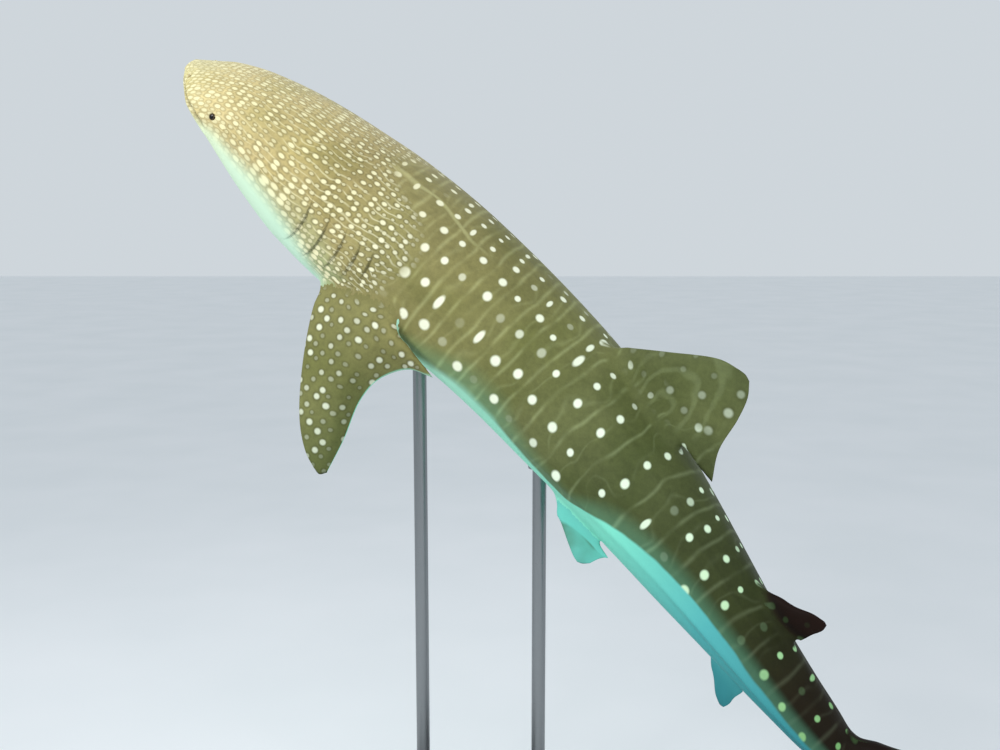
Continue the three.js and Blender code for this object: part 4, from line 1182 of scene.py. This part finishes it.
        # Painted shade along the mouth's line and in the gill slits, kept below 0 in the Arch map
        height = places[..., 2] - self.body.mouth_height(s) * TOTAL_LENGTH
        corner = self.body.mouth_corner
        mouth = bump_at(height, 0.0, 0.006) * (1 - ramp(corner - 0.002, corner + 0.004, s))
        shade = np.maximum(self.mouth_painted_shade * mouth, self.gill_painted_shade * self.body.slit_painted_shade(s, e))
        return {
            "OFBake": np.stack([0.005 + np.broadcast_to(bake_along, s.shape) * 0.985, 0.27 + girth / 5.1], -1),
            "Flank": flank,
            "Spread": spread,
            "Place": np.stack([s, girth], -1),
            "Tone": np.stack([under, flecked], -1),
            "Fleck": np.stack([ahead / cell_x, fleck_row], -1),
            "Dress": np.stack([flecked, radius], -1),
            "Arch": np.stack([np.zeros_like(s), -shade], -1),
        }

    def weld(self, body: bpy.types.Object, fins: list[tuple[Fin, bpy.types.Object]]) -> bpy.types.Object:
        """Unites the body and the fins into one closed piece.

        Args:
            body: The body.
            fins: Each fin's layout and its piece, whose root ends inside the body.

        Returns:
            The one piece, whose material numbers tell body, middle fins and paired fins apart.
        """
        kinds = [bpy.data.materials.new(name) for name in ("body", "middle_fin", "paired_fin")]
        for kind in kinds:
            body.data.materials.append(kind)
        for fin, piece in fins:
            for kind in kinds:
                piece.data.materials.append(kind)
            number = 2 if fin.over is None else 1
            piece.data.polygons.foreach_set("material_index", np.full(len(piece.data.polygons), number, np.int32))
            union = body.modifiers.new("union", "BOOLEAN")
            union.operation = "UNION"
            union.solver = "EXACT"
            union.object = piece
            bpy.context.view_layer.objects.active = body
            bpy.ops.object.modifier_apply(modifier=union.name)
            bpy.data.objects.remove(piece)
        return body

    def fair(self, piece: bpy.types.Object) -> None:
        """Rounds the corner where each fin leaves the body, as flesh does, and ends the marks at the paired fins."""
        mesh = piece.data
        count = len(mesh.vertices)
        places = np.empty(count * 3)
        mesh.vertices.foreach_get("co", places)
        places = places.reshape(-1, 3)
        ends = np.empty(len(mesh.edges) * 2, np.int32)
        mesh.edges.foreach_get("vertices", ends)
        ends = ends.reshape(-1, 2)
        loop_edges = np.empty(len(mesh.loops), np.int32)
        mesh.loops.foreach_get("edge_index", loop_edges)
        totals, kinds = np.empty(len(mesh.polygons), np.int32), np.empty(len(mesh.polygons), np.int32)
        mesh.polygons.foreach_get("loop_total", totals)
        mesh.polygons.foreach_get("material_index", kinds)
        loop_kinds = np.repeat(kinds, totals)
        touched = np.zeros((3, len(ends)), bool)
        for kind in range(3):
            touched[kind, loop_edges[loop_kinds == kind]] = True
        lengths = np.linalg.norm(places[ends[:, 0]] - places[ends[:, 1]], axis=1)

        def from_seam(seam: Array) -> Array:
            """Distance of each point from a seam, along the edges."""
            distance = np.full(count, np.inf)
            distance[ends[seam].ravel()] = 0.0
            for _ in range(self.seam_steps):
                before = distance.copy()
                np.minimum.at(distance, ends[:, 0], before[ends[:, 1]] + lengths)
                np.minimum.at(distance, ends[:, 1], before[ends[:, 0]] + lengths)
            return distance

        paired, middle = from_seam(touched[0] & touched[2]), from_seam(touched[0] & touched[1])
        distance = np.minimum(paired, middle)
        self.end_marks(mesh, paired, middle)
        weight = np.clip(1 - (distance / self.reach) ** 2, 0, 1) ** 2
        inner = (weight[ends] > 0).any(axis=1)
        a, b = ends[inner].T
        degree = np.maximum(np.bincount(a, minlength=count) + np.bincount(b, minlength=count), 1)
        for _ in range(int(self.smoothing * DETAIL**2) + 6):
            total = np.stack([
                np.bincount(a, places[b, k], count) + np.bincount(b, places[a, k], count) for k in range(3)
            ], 1)
            mean = total / degree[:, None]
            places += (mean - places) * (weight * self.smoothing_step)[:, None]
        mesh.vertices.foreach_set("co", places.ravel())
        mesh.update()

    def end_marks(self, mesh: bpy.types.Mesh, paired: Array, middle: Array) -> None:
        """Fades the spots, and at the paired fins the lower flank's tint, out over the last centimetres to a seam.

        Args:
            mesh: The welded skin.
            paired: Each point's distance from the paired fins' seams.
            middle: The same from the middle fins' seams.
        """
        corners = np.empty(len(mesh.loops), np.int32)
        mesh.loops.foreach_get("vertex_index", corners)
        away, beside = paired[corners], np.minimum(paired, middle)[corners]
        for name, index, change in (
            ("Tone", 0, lambda old: old - 1.8 * (1 - ramp(0.0, 0.09, away)) * (1 - ramp(-0.5, 0.15, old))),
            ("Tone", 1, lambda old: np.maximum(old, 1 - ramp(0.002, 0.035, beside))),
            ("Dress", 0, lambda old: old * ramp(0.0, 0.03, away)),
        ):
            layer = mesh.uv_layers[name]
            values = np.empty(len(mesh.loops) * 2, np.float32)
            layer.uv.foreach_get("vector", values)
            values = values.reshape(-1, 2)
            values[:, index] = change(values[:, index])
            layer.uv.foreach_set("vector", values.ravel())

    def build(self) -> bpy.types.Object:
        """Builds the one skin and dresses it."""
        body = self.body_piece()
        LOG.info("body %d faces", len(body.data.polygons))
        fins = [(fin, fin.build()) for fin in FinSet(self.spine, self.body, self.markings).all()]
        skin = self.weld(body, fins)
        self.fair(skin)
        skin.name = skin.data.name = "shark_skin"
        bpy.ops.object.select_all(action="DESELECT")
        skin.select_set(True)
        bpy.context.view_layer.objects.active = skin
        bpy.ops.object.shade_smooth()
        skin.data.polygons.foreach_set("material_index", np.zeros(len(skin.data.polygons), np.int32))
        skin.data.materials.clear()
        skin.data.materials.append(SharkHide()())
        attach(skin, "root")
        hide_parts(*FLESH_NODES)
        LOG.info("skin %d faces", len(skin.data.polygons))
        return skin


@dataclass(frozen=True)
class WetEye:
    """A shark's eye: a dark wet ball with a thin brown ring round the pupil, so it shows one small highlight."""

    pupil: str = "#0b0a09"
    ring: str = "#4a3a22"
    white: str = "#1d1812"

    def __call__(self) -> bpy.types.Material:
        """Builds the material."""
        material, graph, surface = new_material("wet_eye")
        colour = graph.ramp(graph.part(graph.uv("Gaze"), 0), (
            (0.0, self.pupil), (0.36, self.pupil), (0.42, self.ring), (0.5, self.ring), (0.6, self.white),
        ))
        graph.tree.links.new(colour, surface["Base Color"])
        surface["Roughness"].default_value = 0.08
        surface["IOR"].default_value = 1.38
        return material


@dataclass(frozen=True)
class FeelerFlesh:
    """The soft, slightly wet flesh of the nostrils' feelers, golden like the snout and clouded with paler patches."""

    base: str = "#b9a878"
    pale: str = "#e9dfb4"

    def __call__(self) -> bpy.types.Material:
        """Builds the material."""
        material, graph, surface = new_material("feeler_flesh")
        cloud = graph.noise(graph.here(), 90.0, 3.0)
        graph.tree.links.new(graph.ramp(cloud, ((0.35, self.base), (0.65, self.pale))), surface["Base Color"])
        graph.tree.links.new(graph.bump(cloud, 0.2, 0.002), surface["Normal"])
        surface["Roughness"].default_value = 0.45
        return material


@dataclass
class FaceParts:
    """The two small eyes in the sides of the head, and the short feeler that hangs at each nostril."""

    spine: Spine
    body: BodyShape
    feeler_spread: float = 0.0235
    feeler_radius: float = 0.0065
    feeler_length: float = 0.038
    feeler_taper: float = 0.25
    feeler_sunk: float = 0.32
    feeler_lean: float = 0.004
    feeler_curl: float = 0.012
    cornea_edge: float = 0.55
    cornea_flat: float = 0.35

    def eye(self, hand: Hand, finish: bpy.types.Material) -> bpy.types.Object:
        """Builds one eye in place of its plain solid.

        Args:
            hand: Its side.
            finish: Its material.

        Returns:
            The eyeball.
        """
        body = self.body
        out = body.normal(body.eye_station, body.eye_elevation, hand.value)
        centre = body.skin(np.array(body.eye_station), np.array(body.eye_elevation), hand.value)
        centre = centre - out * body.eye_sunk
        radius = body.eye_radius
        bpy.ops.object.select_all(action="DESELECT")
        bpy.ops.mesh.primitive_uv_sphere_add(segments=32, ring_count=20, radius=radius,
                                             location=self.spine.to_world(centre))
        eye = as_placed(bpy.context.object)
        eye.name = eye.data.name = f"eyeball_{hand.name.lower()}"
        bpy.ops.object.shade_smooth()
        mesh = eye.data
        flat = np.empty(len(mesh.vertices) * 3)
        mesh.vertices.foreach_get("co", flat)
        apart = flat.reshape(-1, 3) - self.spine.to_world(centre)
        gaze = apart @ (self.spine.basis @ out) / radius
        past = (gaze - self.cornea_edge) * self.cornea_flat
        flatter = np.where(gaze > self.cornea_edge, past, 0.0) * radius
        moved = flat.reshape(-1, 3) - flatter[:, None] * (self.spine.basis @ out)
        mesh.vertices.foreach_set("co", moved.ravel())
        facing = np.arccos(np.clip(gaze, -1, 1)) / (np.pi / 2)
        corners = np.empty(len(mesh.loops), np.int32)
        mesh.loops.foreach_get("vertex_index", corners)
        layer = mesh.uv_layers.new(name="Gaze", do_init=False)
        layer.uv.foreach_set("vector", np.stack([facing, facing], 1)[corners].astype(np.float32).ravel())
        mesh.materials.append(finish)
        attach(eye, "root")
        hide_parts(f"eye_{hand.name.lower()}")
        return eye

    def feeler(self, hand: Hand, finish: bpy.types.Material) -> bpy.types.Object:
        """Builds one feeler: a slim cone that curls back and ends in a blunt tip.

        Args:
            hand: Its side.
            finish: Its material.

        Returns:
            The feeler.
        """
        body = self.body
        root = self.spine.place(body.nostril[0], hand.value * self.feeler_spread, body.nostril[2])
        bpy.ops.object.select_all(action="DESELECT")
        tip = self.feeler_radius * self.feeler_taper
        bpy.ops.mesh.primitive_cone_add(vertices=16, radius1=self.feeler_radius, radius2=tip,
                                        depth=self.feeler_length, location=(0.0, 0.0, 0.0))
        feeler = bpy.context.object
        feeler.name = feeler.data.name = f"nostril_feeler_{hand.name.lower()}"
        bpy.ops.object.mode_set(mode="EDIT")
        bpy.ops.mesh.select_all(action="SELECT")
        bpy.ops.mesh.subdivide(number_cuts=5)
        bpy.ops.mesh.normals_make_consistent(inside=False)
        bpy.ops.object.mode_set(mode="OBJECT")
        bpy.ops.object.shade_smooth_by_angle(angle=math.radians(50))
        mesh = feeler.data
        flat = np.empty(len(mesh.vertices) * 3)
        mesh.vertices.foreach_get("co", flat)
        point = flat.reshape(-1, 3)
        down = point[:, 2] / self.feeler_length + 0.5
        shaped = np.stack([
            point[:, 0] - self.feeler_lean + self.feeler_curl * down**2,
            point[:, 1] + hand.value * self.feeler_lean * down,
            -point[:, 2] - self.feeler_length * self.feeler_sunk,
        ], 1)
        mesh.vertices.foreach_set("co", self.spine.to_world(root + shaped).ravel())
        mesh.update()
        mesh.flip_normals()
        mesh.materials.append(finish)
        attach(feeler, "root")
        return feeler

    def build(self) -> None:
        """Builds both sides' small parts."""
        wet, flesh = WetEye()(), FeelerFlesh()()
        for hand in Hand:
            for piece in (self.eye(hand, wet), self.feeler(hand, flesh)):
                LOG.info("%s %d faces", piece.name, len(piece.data.polygons))


@dataclass(frozen=True)
class SatinPaint:
    """Two-pack paint rolled and rubbed down on a steel plinth: satin, with a faint orange peel."""

    colour: str = "#3a3c40"
    worn: str = "#44474b"

    def __call__(self) -> bpy.types.Material:
        """Builds the material."""
        material, graph, surface = new_material("satin_paint")
        here = graph.here()
        cloud = graph.noise(here, 2.5, 4.0)
        graph.tree.links.new(graph.ramp(cloud, ((0.35, self.colour), (0.65, self.worn))), surface["Base Color"])
        graph.tree.links.new(graph.bump(graph.noise(here, 140.0), 0.08, 0.002), surface["Normal"])
        graph.tree.links.new(graph.spread(cloud, 0.3, 0.7, 0.36, 0.5), surface["Roughness"])
        return material


@dataclass(frozen=True)
class BrushedSteel:
    """Stainless steel tube brushed round and round, so its highlight runs the length of the rod."""

    colour: str = "#8f9294"
    rounding: float = 0.012

    def __call__(self) -> bpy.types.Material:
        """Builds the material."""
        material, graph, surface = new_material("brushed_steel")
        drawn = graph.node("ShaderNodeMapping", {}, {"Vector": graph.here(), "Scale": (1.0, 1.0, 90.0)})
        lines = graph.noise(drawn, 6.0, 3.0)
        graph.tree.links.new(graph.spread(lines, 0.3, 0.7, 0.26, 0.42), surface["Roughness"])
        rounded = graph.node("ShaderNodeBevel", {"samples": 6}, {"Radius": self.rounding})
        graph.tree.links.new(graph.bump(lines, 0.05, 0.001, Normal=rounded), surface["Normal"])
        surface["Base Color"].default_value = linear(self.colour)
        surface["Metallic"].default_value = 1.0
        return material


@dataclass
class Stand:
    """The display stand: a flat base and two rods, which keep the shapes of their solids."""

    def build(self) -> None:
        """Dresses the stand's own solids."""
        paint, steel = SatinPaint()(), BrushedSteel()()
        for name, finish in (("stand_base", paint), ("stand_rod_front", steel), ("stand_rod_rear", steel)):
            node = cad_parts[name]
            node.data.materials.clear()
            node.data.materials.append(finish)
            LOG.info("%s dressed", name)


@dataclass(frozen=True)
class StudioFloor:
    """A plain pale painted floor, matt."""

    colour: str = "#eceff1"
    pale: str = "#f1f3f5"

    def __call__(self) -> bpy.types.Material:
        """Builds the material."""
        material, graph, surface = new_material("studio_floor")
        cloud = graph.noise(graph.here(), 0.6)
        graph.tree.links.new(graph.ramp(cloud, ((0.3, self.colour), (0.7, self.pale))), surface["Base Color"])
        surface["Roughness"].default_value = 0.9
        return material


@dataclass
class Studio:
    """Camera, floor and soft light."""

    camera_place: tuple[float, float, float] = (0.0954, -5.8929, 3.6264)
    camera_tilt: float = 82.0
    lens: float = 40.0
    sensor: float = 36.0
    far_clip: float = 200.0
    floor_size: float = 90.0
    floor_middle: tuple[float, float, float] = (0.0, 20.0, 0.0)
    sky: str = "#e4ecf2"
    sky_strength: float = 0.8

    def build(self) -> None:
        """Sets up the room round the model."""
        bpy.ops.object.select_all(action="DESELECT")
        bpy.ops.object.camera_add(location=self.camera_place, rotation=(math.radians(self.camera_tilt), 0.0, 0.0))
        camera = bpy.context.object
        camera.data.lens = self.lens
        camera.data.sensor_width = self.sensor
        camera.data.clip_end = self.far_clip
        bpy.context.scene.camera = camera
        bpy.ops.mesh.primitive_plane_add(size=self.floor_size, location=self.floor_middle)
        floor = as_placed(bpy.context.object)
        floor.name = "studio_floor"
        floor.data.materials.append(StudioFloor()())
        scene = bpy.context.scene
        scene.view_settings.view_transform = "Standard"
        scene.world = scene.world or bpy.data.worlds.new("studio")
        scene.world.use_nodes = True
        background = scene.world.node_tree.nodes["Background"]
        background.inputs["Color"].default_value = linear(self.sky)
        background.inputs["Strength"].default_value = self.sky_strength
        for place, aim, size, power in (
            ((-4.0, -4.4, 6.6), (-0.6, 0.0, 3.6), 3.0, 240.0),
            ((3.5, -7.0, 5.0), (0.8, 0.0, 2.2), 4.0, 120.0),
            ((-0.5, 3.4, 7.4), (-0.9, 0.0, 4.0), 3.0, 50.0),
        ):
            bpy.ops.object.light_add(type="AREA", location=place)
            light = bpy.context.object
            light.data.size = size
            light.data.energy = power
            direction = np.array(aim) - np.array(place)
            flat = math.hypot(direction[0], direction[1])
            turn = math.atan2(direction[1], direction[0]) - math.pi / 2
            light.rotation_euler = (math.atan2(flat, -direction[2]), 0.0, turn)


def main() -> None:
    """Builds the model piece by piece."""
    Studio().build()
    spine = Spine()
    body = BodyShape(spine)
    Skin(spine, body, Markings()).build()
    FaceParts(spine, body).build()
    Stand().build()


if __name__ == "__main__":
    main()
